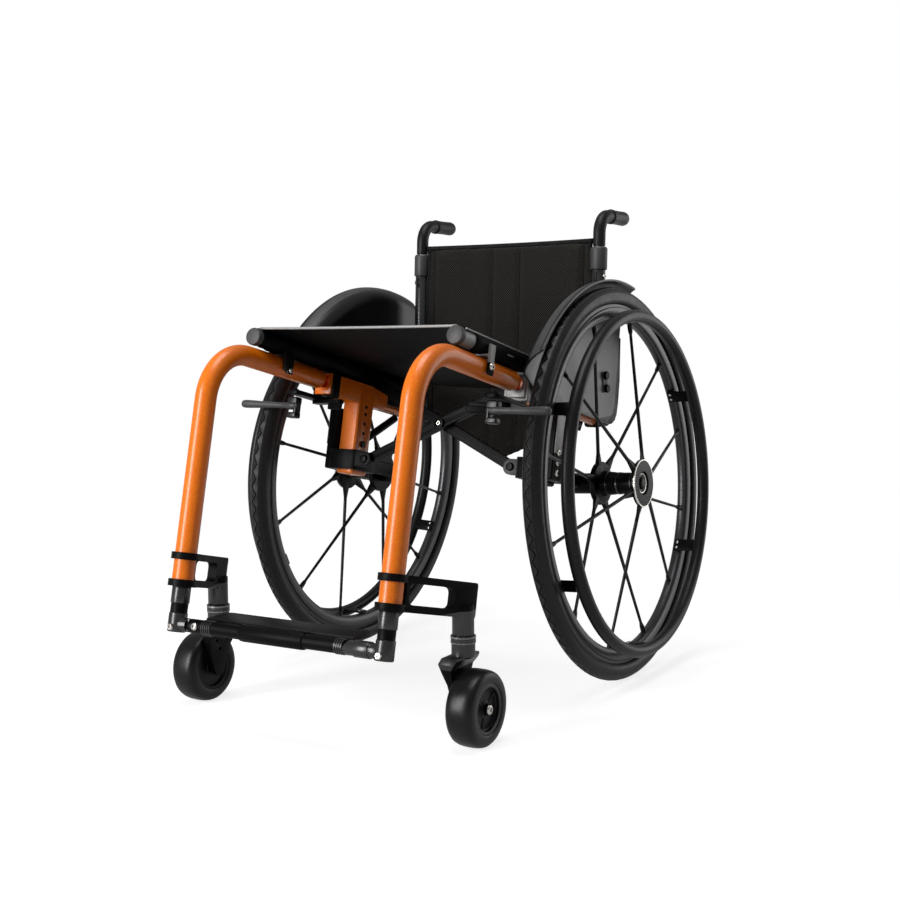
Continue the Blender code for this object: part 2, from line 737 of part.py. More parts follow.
def leg_sleeve(name, sign, body):
    """The leg's lower end, with the footrest's catch on the left and its hinge on the right."""
    x = sign * FRAME_X
    top = -LEG_LENGTH - GAP
    band_top = -LEG_LENGTH - SLEEVE_BAND_START
    profile = [
        (0, top),
        (SLEEVE_RADIUS, top),
        (SLEEVE_RADIUS, band_top + 0.0005),
        (SLEEVE_BAND_RADIUS, band_top),
        (SLEEVE_BAND_RADIUS, band_top - SLEEVE_BAND_WIDTH),
        (SLEEVE_RADIUS, band_top - SLEEVE_BAND_WIDTH - 0.0005),
        (SLEEVE_RADIUS, -SLEEVE_END + 0.0015),
        (SLEEVE_RADIUS - 0.0015, -SLEEVE_END),
        (0, -SLEEVE_END),
    ]
    sleeve = turned(name, profile, 16, at(x, 0, 0), LEG_TURN, closed=False)
    if sign > 0:
        ends = (at(FOOT_JOINT_X - 0.012, 0, FOOT_BAR_H), at(x, 0, FOOT_BAR_H))
        stub = rods(name + "_stub", [ends], FOOT_STUB_RADIUS, 16)
        ring_ends = (at(0.127, 0, FOOT_BAR_H), at(0.150, 0, FOOT_BAR_H))
        ring = rods(name + "_ring", [ring_ends], FOOT_SLEEVE_RADIUS, 16)
        cut = scarf_cutter(name + "_scarf", FOOT_JOINT_X + GAP, -1)
        combine(stub, [cut], "DIFFERENCE")
        combine(sleeve, [stub, ring])
    else:
        ends = (at(x, 0, FOOT_BAR_H), at(-0.149, 0, FOOT_BAR_H))
        stub = rods(name + "_stub", [ends], FOOT_BAR_RADIUS, 16)
        tongue = solid(
            name + "_tongue",
            tapered((-0.160, 0), TONGUE_RADIUS - 0.001, (-FOOT_HINGE_X, 0), TONGUE_RADIUS),
            TONGUE_THICKNESS,
            at(0, 0, FOOT_BAR_H),
            FRONT_VIEW,
        )
        half = FOOT_BAR_RADIUS + 0.0015
        pin_ends = (at(-FOOT_HINGE_X, -half, FOOT_BAR_H), at(-FOOT_HINGE_X, half, FOOT_BAR_H))
        pin = rods(name + "_pin", [pin_ends], HINGE_PIN_RADIUS, 10)
        combine(sleeve, [stub, tongue, pin])
    settle(sleeve, name, "dark", body)


def footrest_bar(name, body):
    """The bar between the legs, forked round the hinge and scarfed at its catch."""
    start = -FOOT_HINGE_X
    sleeve_start, sleeve_end = FOOT_SLEEVE_ENDS
    lengths = [
        (start, 0.0),
        (start, FOOT_BAR_RADIUS),
        (-0.120, FOOT_BAR_RADIUS),
        (-0.1195, FOOT_BAR_RADIUS + 0.0008),
        (-0.1115, FOOT_BAR_RADIUS + 0.0008),
        (-0.111, FOOT_BAR_RADIUS),
        (sleeve_start, FOOT_BAR_RADIUS),
        (sleeve_start, FOOT_SLEEVE_RADIUS),
        (sleeve_end, FOOT_SLEEVE_RADIUS),
        (sleeve_end, FOOT_BAR_RADIUS),
        (0.125, FOOT_BAR_RADIUS),
        (0.125, 0.0),
    ]
    profile = [(radius, across) for across, radius in reversed(lengths)]
    middle = at(0, 0, FOOT_BAR_H)
    bar = turned(name, profile, 16, middle, (0, math.pi / 2, 0), closed=False)
    fork = solid(
        name + "_fork",
        tapered((start + 0.012, 0), FOOT_BAR_RADIUS - 0.0003, (start, 0), FOOT_BAR_RADIUS - 0.0003),
        FOOT_BAR_RADIUS * 2 - 0.001,
        middle,
        FRONT_VIEW,
    )
    slot = block(
        name + "_slot",
        (0.024, TONGUE_THICKNESS + 0.0006, 0.03),
        middle + Vector((start + 0.0005, 0, 0)),
        LEG_TURN,
    )
    hinge = FOOT_BAR_RADIUS + 0.004
    bore_ends = (at(start, -hinge, FOOT_BAR_H), at(start, hinge, FOOT_BAR_H))
    bore = rods(name + "_bore", [bore_ends], HINGE_PIN_RADIUS + 0.00035, 10)
    scarf = scarf_cutter(name + "_scarf", FOOT_JOINT_X, 1)
    combine(bar, [fork])
    combine(bar, [slot, bore, scarf], "DIFFERENCE")
    settle(bar, name, "dark", body)


def footplate(name, body):
    """A level plate behind the bar, with round corners at its back."""
    bar = at(0, 0, FOOT_BAR_H)
    front = bar.y + FOOT_SLEEVE_RADIUS + GAP
    left, right = PLATE_ENDS
    corner = 0.010
    shape = [
        (left, front),
        (right, front),
        *arc((right - corner, PLATE_BACK_Y - corner), corner, 0, 90, 4),
        *arc((left + corner, PLATE_BACK_Y - corner), corner, 90, 180, 4),
    ]
    plate = solid(name, shape, PLATE_THICKNESS, (0, 0, bar.z + PLATE_RISE))
    settle(eased(plate, 0.001, 1, 60), name, "black", body)


def axle_block(name, sign, body):
    """A clamp round the post, with the brace's ear, the bolt plate and the wheel's receiver."""
    height = BLOCK_TOP - BLOCK_BOTTOM
    level = (BLOCK_TOP + BLOCK_BOTTOM) / 2
    depth = BLOCK_BACK - BLOCK_FRONT
    width = BLOCK_OUTER_X - BLOCK_INNER_X
    middle_x = (BLOCK_OUTER_X + BLOCK_INNER_X) / 2
    middle_s = (BLOCK_BACK + BLOCK_FRONT) / 2
    hole_x = sign * (FRAME_X - middle_x)
    hole = rounded(
        POST_WIDTH + GAP * 2, POST_DEPTH + GAP * 2, 0.001, (hole_x, POST_S - middle_s), 1
    )
    ring = solid(
        name,
        rounded(width, depth, 0.006),
        height,
        at(sign * middle_x, middle_s, level),
        TOP_VIEW,
        [hole],
    )
    ear_s = REAR_ARM_S if sign > 0 else FRONT_ARM_S
    ear_s -= ARM_THICKNESS / 2 + RUNNING_GAP + EAR_THICKNESS / 2
    root_x = sign * (BLOCK_INNER_X + 0.008)
    inside = 90 if sign > 0 else -90
    ear_shape = [
        *arc((sign * PIVOT_X, 0), EAR_RADIUS, inside, inside + 180, 8),
        (root_x, -sign * EAR_RADIUS),
        (root_x, sign * EAR_RADIUS),
    ]
    ear = solid(name + "_ear", ear_shape, EAR_THICKNESS, at(0, ear_s, PIVOT_H), FRONT_VIEW)
    plate_x = (0.1865 + 0.204) / 2
    plate_size = (0.204 - 0.1865, 0.035, 0.098)
    plate = block(name + "_plate", plate_size, at(sign * plate_x, 0.351, -0.079), LEG_TURN)
    eased(plate, 0.002, 1)
    arm_middle = (BLOCK_BACK - 0.004 + AXLE_S) / 2
    arm_length = AXLE_S - BLOCK_BACK + 0.004
    arm = block(
        name + "_arm",
        (0.014, arm_length, ARM_BAR_HEIGHT),
        at(sign * FRAME_X, arm_middle, ARM_H),
        LEG_TURN,
    )
    eased(arm, 0.003, 1)
    inner, outer = RECEIVER_ENDS
    boss_ends = (on_axle(sign, inner), on_axle(sign, outer))
    boss = rods(name + "_boss", [boss_ends], RECEIVER_RADIUS, 16)
    bolts = rods(
        name + "_bolts",
        [
            (at(sign * 0.2035, 0.346, up), at(sign * 0.2065, 0.346, up))
            for up in (-0.087, -0.102, -0.117)
        ],
        0.0042,
        8,
    )
    combine(ring, [ear, plate, arm, boss, bolts])
    bore_ends = (on_axle(sign, inner - 0.002), on_axle(sign, outer + 0.002))
    bore = rods(name + "_bore", [bore_ends], AXLE_RADIUS + 0.0006, 16)
    ear_front = at(sign * PIVOT_X, ear_s - 0.01, PIVOT_H)
    ear_back = at(sign * PIVOT_X, ear_s + 0.01, PIVOT_H)
    pin_bore = rods(name + "_pin_bore", [(ear_front, ear_back)], BRACE_BOLT_RADIUS + GAP, 12)
    combine(ring, [bore, pin_bore], "DIFFERENCE")
    settle(ring, name, "black", body)


def brace_pin(name, sign, body):
    """The bolt that a brace arm turns on, through the ear and the arm."""
    arm_s = REAR_ARM_S if sign > 0 else FRONT_ARM_S
    ear_front = arm_s - ARM_THICKNESS / 2 - RUNNING_GAP - EAR_THICKNESS
    arm_back = arm_s + ARM_THICKNESS / 2
    head = 0.003
    profile = [
        (0, ear_front - GAP - head),
        (0.0055, ear_front - GAP - head),
        (0.0065, ear_front - GAP - head + 0.001),
        (0.0065, ear_front - GAP),
        (BRACE_BOLT_RADIUS, ear_front - GAP),
        (BRACE_BOLT_RADIUS, arm_back + RUNNING_GAP),
        (0.0065, arm_back + RUNNING_GAP),
        (0.0065, arm_back + 0.0035),
        (0, arm_back + 0.0035),
    ]
    profile = [(radius, -s) for radius, s in profile]
    turn = basis(SIDEWAYS, UPWARD)
    pin = turned(name, profile, 12, at(sign * PIVOT_X, 0, PIVOT_H), turn, closed=False)
    settle(pin, name, "steel", body)


def brace_arm(name, sign, body):
    """One arm of the cross, from its lower pivot up to the seat rail on the other side."""
    arm_s = FRONT_ARM_S if sign > 0 else REAR_ARM_S
    reach = BRACE_LENGTH - RAIL_RADIUS - GAP
    half = ARM_WIDTH / 2
    shape = [(reach, -half), (reach, half), *arc((0, 0), half, 90, 270, 8)]
    heading = SIDEWAYS * sign * math.cos(BRACE_ANGLE) + UPWARD * math.sin(BRACE_ANGLE)
    square = UPWARD * math.cos(BRACE_ANGLE) - SIDEWAYS * sign * math.sin(BRACE_ANGLE)
    centre_hole = arc((BRACE_CENTRE, 0), BRACE_BOLT_RADIUS + GAP, 0, 330, 11)
    pivot_hole = arc((0, 0), BRACE_BOLT_RADIUS + GAP, 0, 330, 11)
    arm = outline(
        name,
        shape,
        ARM_THICKNESS,
        at(-sign * PIVOT_X, arm_s, PIVOT_H),
        basis(heading, square),
        [centre_hole, pivot_hole] if sign > 0 else [pivot_hole],
    )
    settle(arm, name, "black", body)


def brace_centre_bolt(name, body):
    """The bolt at the middle of the cross, carried by the front arm."""
    front = FRONT_ARM_S - ARM_THICKNESS / 2
    back = FRONT_ARM_S + ARM_THICKNESS / 2 - GAP
    profile = [
        (0, front - GAP - 0.0032),
        (0.0065, front - GAP - 0.0032),
        (0.0080, front - GAP - 0.0017),
        (0.0080, front - GAP),
        (BRACE_BOLT_RADIUS, front - GAP),
        (BRACE_BOLT_RADIUS, back),
        (0, back),
    ]
    profile = [(radius, -s) for radius, s in profile]
    level = PIVOT_H + math.sin(BRACE_ANGLE) * BRACE_CENTRE
    bolt = turned(name, profile, 12, at(0, 0, level), basis(SIDEWAYS, UPWARD), closed=False)
    settle(bolt, name, "steel", body)


def seat_rail(name, sign, body):
    """A round rail under each edge of the seat, with a cap at both ends."""
    profile = [
        (0, RAIL_START),
        (RAIL_CAP_RADIUS - 0.0015, RAIL_START),
        (RAIL_CAP_RADIUS, RAIL_START + 0.0015),
        (RAIL_CAP_RADIUS, RAIL_START + 0.009),
        (RAIL_RADIUS, RAIL_START + 0.0092),
        (RAIL_RADIUS, RAIL_END - 0.0052),
        (RAIL_CAP_RADIUS, RAIL_END - 0.005),
        (RAIL_CAP_RADIUS, RAIL_END - 0.0015),
        (RAIL_CAP_RADIUS - 0.0015, RAIL_END),
        (0, RAIL_END),
    ]
    profile = [(radius, -s) for radius, s in profile]
    place = at(sign * RAIL_X, 0, RAIL_H)
    settle(turned(name, profile, 16, place, FRONT_VIEW, closed=False), name, "dark", body)


def seat_sling(name, body):
    """The cloth seat, wrapped over both rails, with sag between them."""
    radius = RAIL_RADIUS + GAP
    wrap = arc((RAIL_X, RAIL_H), radius, -20, 90, 5)
    inner = RAIL_X - 0.004
    rows = 6
    span = 10
    made = bmesh.new()
    grid = []
    for row in range(rows + 1):
        share = row / rows
        s = SLING_START + (SLING_END - SLING_START) * share
        sag = SLING_SAG * (0.70 + 0.30 * math.sin(math.pi * share))
        line = list(wrap)
        for i in range(1, span):
            x = inner - 2 * inner * i / span
            droop = 1 - (x / inner) ** 2
            line.append((x, RAIL_H + radius - sag * droop))
        line += [(-x, h) for x, h in reversed(wrap)]
        grid.append([made.verts.new(at(x, s, h)) for x, h in line])
    for first, second in zip(grid, grid[1:]):
        for a, b, c, d in zip(first, first[1:], second[1:], second):
            made.faces.new((a, b, c, d))
    bmesh.ops.recalc_face_normals(made, faces=made.faces)
    up = sum(face.normal.z for face in made.faces)
    if up < 0:
        bmesh.ops.reverse_faces(made, faces=made.faces)
    sling = from_bmesh(name, made)
    cloth = sling.modifiers.new("cloth", "SOLIDIFY")
    cloth.thickness = SLING_THICKNESS
    cloth.offset = 1
    cloth.use_even_offset = True
    settle(sling, name, "fabric", body, 60)


def brake_body(name, sign, body):
    """The wheel lock's plate, hung under the clamp, with its two pivot bolts."""
    start, end = LOCK_SHOE_S - LOCK_PLATE_LEAD, LOCK_PLATE_END
    plate = solid(
        name,
        rounded(LOCK_PLATE_WIDTH, end - start, 0.006, (0, 0), 3),
        LOCK_PLATE,
        at(sign * LOCK_PLATE_X, (start + end) / 2, LOCK_PLATE_H),
        TOP_VIEW,
    )
    heads = [
        (at(sign * x, s, LOCK_PLATE_TOP - 0.002), at(sign * x, s, LOCK_PLATE_TOP + 0.003))
        for x, s in ((LOCK_SHOE_X, LOCK_SHOE_S), (LOCK_LEVER_X, LOCK_LEVER_S))
    ]
    combine(plate, [rods(name + "_heads", heads, 0.0045, 8)])
    settle(plate, name, "black", body)


def brake_lever(name, sign, body):
    """The hand lever under the plate; it swings forward to set the lock."""
    arm = solid(
        name,
        tapered(
            (sign * LOCK_LEVER_X, LOCK_LEVER_S),
            0.0085,
            (sign * LOCK_LEVER_TIP_X, LOCK_LEVER_S - 0.012),
            0.0070,
        ),
        LOCK_LEVER_THICKNESS,
        at(0, 0, LOCK_LEVER_H),
        TOP_VIEW,
    )
    paddle = block(
        name + "_paddle",
        (0.030, 0.0055, 0.016),
        at(sign * (LOCK_LEVER_TIP_X + 0.008), LOCK_LEVER_S - 0.0105, LOCK_LEVER_H - 0.004),
        (-SEAT_SLOPE, 0, sign * math.radians(13.6)),
    )
    eased(paddle, 0.0015, 1)
    combine(arm, [paddle])
    settle(arm, name, "dark", body)


def brake_shoe(name, sign, body):
    """A block under the plate with the bar that presses on the tyre."""
    height = 0.032
    level = LOCK_SHOE_TOP - height / 2
    shoe = block(name, (0.018, 0.014, height), at(sign * LOCK_SHOE_X, LOCK_SHOE_S, level), LEG_TURN)
    eased(shoe, 0.0015, 1)
    ends = (
        at(sign * LOCK_SHOE_X, LOCK_SHOE_S, LOCK_BAR_H),
        at(sign * LOCK_BAR_TIP_X, LOCK_BAR_TIP_S, LOCK_BAR_H),
    )
    combine(shoe, [rods(name + "_bar", [ends], LOCK_BAR_RADIUS, 12)])
    settle(shoe, name, "dark", body)


def side_guard(name, sign, body):
    """A cloth guard beside the seat that rolls out over the tyre."""
    roll = GUARD_ROLL
    lip = GUARD_LIP_X - GUARD_X
    profile = [(GUARD_INNER_RADIUS, 0), (GUARD_RADIUS - roll, 0)]
    for i in range(1, 5):
        turn = math.radians(90 * i / 4)
        profile.append(
            (GUARD_RADIUS - roll + roll * math.sin(turn), lip * (1 - math.cos(turn)))
        )
    mesh = bpy.data.meshes.new(name)
    edges = [(i, i + 1) for i in range(len(profile) - 1)]
    mesh.from_pydata([(radius, 0, height) for radius, height in profile], edges, [])
    guard = mesh_object(name, mesh)
    screw = guard.modifiers.new("sweep", "SCREW")
    screw.axis = "Z"
    screw.angle = math.radians(GUARD_FRONT_ANGLE - GUARD_REAR_ANGLE)
    screw.steps = 11
    screw.render_steps = 11
    cloth = guard.modifiers.new("cloth", "SOLIDIFY")
    cloth.thickness = GUARD_THICKNESS
    cloth.offset = 1
    cloth.use_even_offset = True
    first = GUARD_REAR_ANGLE if sign > 0 else GUARD_FRONT_ANGLE
    start = (0, math.cos(math.radians(first)), math.sin(math.radians(first)))
    square = Vector((sign, 0, 0)).cross(Vector(start))
    placed(guard, (sign * GUARD_X, 0, TYRE_OUTER_RADIUS), basis(start, square))
    below = block(
        name + "_below",
        (0.2, 0.9, 0.3),
        at(sign * GUARD_X, 0.4, GUARD_TRIM_H - 0.15),
        LEG_TURN,
    )
    rear = GUARD_REAR_Y
    low = TYRE_OUTER_RADIUS
    edge = [
        (rear + 0.30, low + 0.50),
        (rear + 0.015, low + 0.340),
        (rear, low + 0.246),
        (rear - 0.004, low + 0.155),
        (rear - 0.010, low + 0.119),
        (rear - 0.0155, low + 0.101),
        (rear - 0.0225, low + 0.092),
        (rear - 0.034, low + 0.087),
        (rear - 0.052, low + 0.0865),
        (rear - 0.052, low - 0.05),
        (rear + 0.30, low - 0.05),
    ]
    behind = solid(name + "_behind", edge, 0.2, (sign * GUARD_X, 0, 0), LEVEL_SIDE_VIEW)
    combine(guard, [below, behind], "DIFFERENCE")
    near = GUARD_X + 0.001
    cane = CANE_X + CANE_RADIUS + GAP
    beam = FRAME_X + BEAM_WIDTH / 2 + GAP
    upper = TYRE_OUTER_RADIUS + 0.220
    lugs = [
        ((sign * beam, *along(0.325, GUARD_LUG_H)), (sign * near, *along(0.325, GUARD_LUG_H))),
        ((sign * beam, *along(0.397, GUARD_LUG_H)), (sign * near, *along(0.397, GUARD_LUG_H))),
        ((sign * cane, cane_y(upper), upper), (sign * near, cane_y(upper), upper)),
    ]
    combine(guard, [rods(name + "_lugs", lugs, GUARD_LUG_RADIUS, 10)])
    settle(guard, name, "black", body, 50)


def cane_y(z):
    """How far back the cane's middle line is at a height."""
    return CANE_Y + (z - CANE_TOP) * math.tan(CANE_LEAN)


def on_cane(sign, up):
    """A point on the cane's middle line, up along it from its top."""
    lean = Vector((0, math.sin(CANE_LEAN), math.cos(CANE_LEAN)))
    return Vector((sign * CANE_X, CANE_Y, CANE_TOP)) + lean * up


def back_cane(name, sign, body):
    """The upright behind the seat, in its foot, bored for the push handle."""
    length = (CANE_TOP - CANE_BOTTOM) / math.cos(CANE_LEAN)
    bore = HANDLE_RADIUS + RUNNING_GAP
    profile = [
        (0, -CANE_BORE_DEPTH),
        (bore, -CANE_BORE_DEPTH),
        (bore, 0),
        (CANE_RADIUS, 0),
        (CANE_RADIUS, -length),
        (0, -length),
    ]
    cane = turned(name, profile, 16, on_cane(sign, 0), CANE_TURN, closed=False)
    foot = block(name + "_foot", FOOT_SIZE, (sign * CANE_X, FOOT_Y, FOOT_Z))
    eased(foot, 0.004)
    combine(cane, [foot])
    settle(cane, name, "black", body)


def cane_collar(name, sign, body):
    """The collar where the push handle enters the cane."""
    profile = [
        (CANE_RADIUS + GAP, 0.0006),
        (HANDLE_RADIUS + RUNNING_GAP, 0.0006),
        (HANDLE_RADIUS + RUNNING_GAP, COLLAR_ABOVE),
        (COLLAR_RADIUS - 0.002, COLLAR_ABOVE),
        (COLLAR_RADIUS, COLLAR_ABOVE - 0.003),
        (COLLAR_RADIUS, -COLLAR_BELOW),
        (CANE_RADIUS + GAP, -COLLAR_BELOW),
    ]
    collar = turned(name, profile, 16, on_cane(sign, 0), CANE_TURN)
    settle(collar, name, "dark", body)


def push_handle(name, sign, body):
    """A bent tube that slides in the cane and carries the grip."""
    corner = on_cane(sign, (HANDLE_TOP - CANE_TOP) / math.cos(CANE_LEAN))
    end = Vector((sign * CANE_X, HANDLE_END_Y, HANDLE_TOP))
    path = bent_path([on_cane(sign, -HANDLE_INSERT), corner, end], [HANDLE_BEND], steps=6)
    settle(tube(name, path, HANDLE_RADIUS, 3), name, "dark", body)


def handle_grip(name, sign, body):
    """A soft grip over the end of the push handle."""
    bore = HANDLE_RADIUS + GAP
    profile = [
        (0, GRIP_END_Y),
        (GRIP_RADIUS - 0.003, GRIP_END_Y),
        (GRIP_RADIUS, GRIP_END_Y - 0.003),
        (GRIP_RADIUS, GRIP_START_Y + 0.006),
        (GRIP_RADIUS + 0.0012, GRIP_START_Y + 0.005),
        (GRIP_RADIUS + 0.0012, GRIP_START_Y),
        (bore, GRIP_START_Y),
        (bore, HANDLE_END_Y + GAP),
        (0, HANDLE_END_Y + GAP),
    ]
    place = (sign * CANE_X, 0, HANDLE_TOP)
    grip = turned(name, profile, 16, place, (-math.pi / 2, 0, 0), closed=False)
    settle(grip, name, "rubber", body)


def back_upholstery(name, body):
    """The padded back between the canes, bowed back, with a pointed lower edge."""
    edge = CANE_X - CANE_RADIUS - GAP
    narrow = CANE_X - COLLAR_RADIUS - GAP
    rows = [
        (BACK_TOP, BACK_TOP, narrow - 0.003),
        (BACK_TOP - 0.008, BACK_TOP - 0.008, narrow),
        (BACK_TOP - 0.052, BACK_TOP - 0.052, narrow),
        (BACK_TOP - 0.056, BACK_TOP - 0.058, edge),
        (BACK_TOP - 0.120, BACK_TOP - 0.124, edge),
        (BACK_TOP - 0.180, BACK_TOP - 0.190, edge),
        (BACK_TOP - 0.242, BACK_TOP - 0.260, edge),
        (BACK_TOP - 0.246, BACK_TOP - 0.268, narrow),
        (BACK_TOP - 0.280, BACK_TOP - 0.320, narrow - 0.006),
        (BACK_TOP - 0.305, BACK_TOP - 0.358, narrow - 0.014),
    ]
    span = 10
    front = []
    for outer_z, middle_z, half in rows:
        line = []
        for i in range(span + 1):
            x = half - 2 * half * i / span
            bow = 1 - (x / half) ** 2
            z = outer_z + (middle_z - outer_z) * (1 - abs(x / half))
            line.append(Vector((x, cane_y(z) + BACK_BOW * bow - BACK_THICKNESS / 2, z)))
        front.append(line)
    thickness = Vector((0, BACK_THICKNESS, 0))
    made = bmesh.new()
    near = [[made.verts.new(point) for point in line] for line in front]
    far = [[made.verts.new(point + thickness) for point in line] for line in front]
    for grid in (near, far):
        for first, second in zip(grid, grid[1:]):
            for a, b, c, d in zip(first, first[1:], second[1:], second):
                made.faces.new((a, b, c, d))
    rims = [
        near[0] + [line[-1] for line in near[1:]] + near[-1][-2::-1] + [line[0] for line in near[-2:0:-1]],
        far[0] + [line[-1] for line in far[1:]] + far[-1][-2::-1] + [line[0] for line in far[-2:0:-1]],
    ]
    for i in range(len(rims[0])):
        j = (i + 1) % len(rims[0])
        made.faces.new((rims[0][i], rims[0][j], rims[1][j], rims[1][i]))
    bmesh.ops.recalc_face_normals(made, faces=made.faces)
    settle(from_bmesh(name, made), name, "fabric", body, 60)


def wheel_turn(sign, camber=0.0):
    """Local Z along the axle, outward, with a corner of the rim at the floor."""
    return basis((0, sign, 0), (-sign * math.sin(camber), 0, math.cos(camber)))


def rear_wheel(side, sign, body, button_body):
    """Tyre, rim, hub with spokes, handrim and the axle's button."""
    centre = on_axle(sign, 0)
    turn = wheel_turn(sign, CAMBER)
    tyre = mirrored_profile(
        [
            (TYRE_INNER_RADIUS, TYRE_WIDTH * 0.38),
            (TYRE_INNER_RADIUS + 0.0082, TYRE_WIDTH / 2),
            (TYRE_OUTER_RADIUS - 0.006, TYRE_WIDTH * 0.41),
            (TYRE_OUTER_RADIUS, TYRE_WIDTH * 0.17),
        ]
    )
    name = f"{side}_tyre"
    settle(turned(name, tyre, WHEEL_STEPS, centre, turn), name, "rubber", body, 50)
    rim = mirrored_profile(
        [
            (RIM_INNER_RADIUS, 0.0066),
            (RIM_INNER_RADIUS + 0.0012, 0.0090),
            (RIM_INNER_RADIUS + 0.0045, RIM_WIDTH / 2),
            (RIM_OUTER_RADIUS, RIM_WIDTH / 2),
        ]
    )
    name = f"{side}_rim"
    settle(turned(name, rim, WHEEL_STEPS, centre, turn), name, "black", body)
    handrim(f"{side}_handrim", sign, centre, turn, body)
    hub(f"{side}_hub", sign, centre, turn, body)
    outside = hub_dish_floor() + BUTTON_PROUD
    inside = outside - BUTTON_LENGTH
    button = [
        (0, outside),
        (BUTTON_RADIUS - 0.002, outside),
        (BUTTON_RADIUS, outside - 0.0015),
        (BUTTON_RADIUS, inside),
        (0, inside),
    ]
    name = f"{side}_axle_button"
    button_piece = turned(name, button, 16, centre, turn, closed=False)
    settle(button_piece, name, "steel", button_body)


def handrim(name, sign, centre, turn, body):
    """The ring that the user pushes, on six plates that lie on the rim's hub side."""
    ring = [
        (HANDRIM_RADIUS + across, HANDRIM_OFFSET + up)
        for across, up in reversed(arc((0, 0), HANDRIM_TUBE, 0, 315, 7))
    ]
    piece = turned(name, ring, WHEEL_STEPS, centre, turn)
    outside = HANDRIM_OFFSET - 0.0035
    top = RIM_INNER_RADIUS * math.cos(math.pi / WHEEL_STEPS) - GAP * 2
    made = bmesh.new()
    for i in range(HANDRIM_TABS):
        angle = math.radians(TAB_PHASE + 360 * i / HANDRIM_TABS)
        new = bmesh.ops.create_cube(made, size=1.0)["verts"]
        bmesh.ops.scale(made, vec=(TAB_THICKNESS, TAB_WIDTH, outside - TAB_START), verts=new)
        middle = (top - TAB_THICKNESS / 2, 0, (outside + TAB_START) / 2)
        bmesh.ops.translate(made, vec=middle, verts=new)
        bmesh.ops.rotate(made, matrix=Matrix.Rotation(angle, 3, "Z"), verts=new)
    tabs = placed(from_bmesh(name + "_tabs", made), centre, turn)
    combine(piece, [tabs])
    settle(piece, name, "dark", body, 50)


def hub_dish_floor():
    """How far out of the wheel's middle plane the floor of the hub's outer dish lies."""
    return OUTER_FLANGE_OFFSET + OUTER_FLANGE_THICKNESS / 2 - HUB_DISH_DEPTH


def hub(name, sign, centre, turn, body):
    """The turned hub with its quick-release axle and twelve spokes."""
    face = OUTER_FLANGE_OFFSET + OUTER_FLANGE_THICKNESS / 2
    root = OUTER_FLANGE_OFFSET - OUTER_FLANGE_THICKNESS / 2
    inner_root = -INNER_FLANGE_OFFSET + INNER_FLANGE_THICKNESS / 2
    inner_face = -INNER_FLANGE_OFFSET - INNER_FLANGE_THICKNESS / 2
    bore_floor = hub_dish_floor() + BUTTON_PROUD - BUTTON_LENGTH - BUTTON_TRAVEL - RUNNING_GAP * 2
    button_bore = BUTTON_RADIUS + GAP
    tip = inner_face - AXLE_LENGTH
    profile = [
        (0, bore_floor),
        (button_bore, bore_floor),
        (button_bore, hub_dish_floor()),
        (HUB_DISH_RADIUS, hub_dish_floor()),
        (HUB_DISH_RADIUS + 0.0015, face),
        (OUTER_FLANGE_RADIUS - 0.001, face),
        (OUTER_FLANGE_RADIUS, face - 0.0012),
        (OUTER_FLANGE_RADIUS, root),
        (0.0200, root),
        (BARREL_OUTER_RADIUS, root - 0.006),
        (BARREL_INNER_RADIUS, inner_root - 0.001),
        (0.0210, inner_root),
        (INNER_FLANGE_RADIUS, inner_root),
        (INNER_FLANGE_RADIUS, inner_face + 0.0012),
        (INNER_FLANGE_RADIUS - 0.001, inner_face),
        (AXLE_RADIUS, inner_face),
        (AXLE_RADIUS, tip + 0.001),
        (AXLE_RADIUS - 0.001, tip),
        (0, tip),
    ]
    piece = turned(name, profile, 20, centre, turn, closed=False)
    flat = RIM_INNER_RADIUS * math.cos(math.pi / WHEEL_STEPS)
    rim_reach = flat - GAP - SPOKE_RADIUS * 0.14
    ends = []
    for i in range(SPOKES):
        angle = math.radians(SPOKE_PHASE + 360 * i / SPOKES)
        outward = (i % 2 == 0) == (sign > 0)
        side = OUTER_FLANGE_OFFSET if outward else -INNER_FLANGE_OFFSET
        foot = (SPOKE_FOOT_RADIUS * math.cos(angle), SPOKE_FOOT_RADIUS * math.sin(angle), side)
        ends.append((foot, (rim_reach * math.cos(angle), rim_reach * math.sin(angle), 0)))
    spokes = placed(rods(name + "_spokes", ends, SPOKE_RADIUS, 6), centre, turn)
    combine(piece, [spokes])
    settle(piece, name, "black", body)


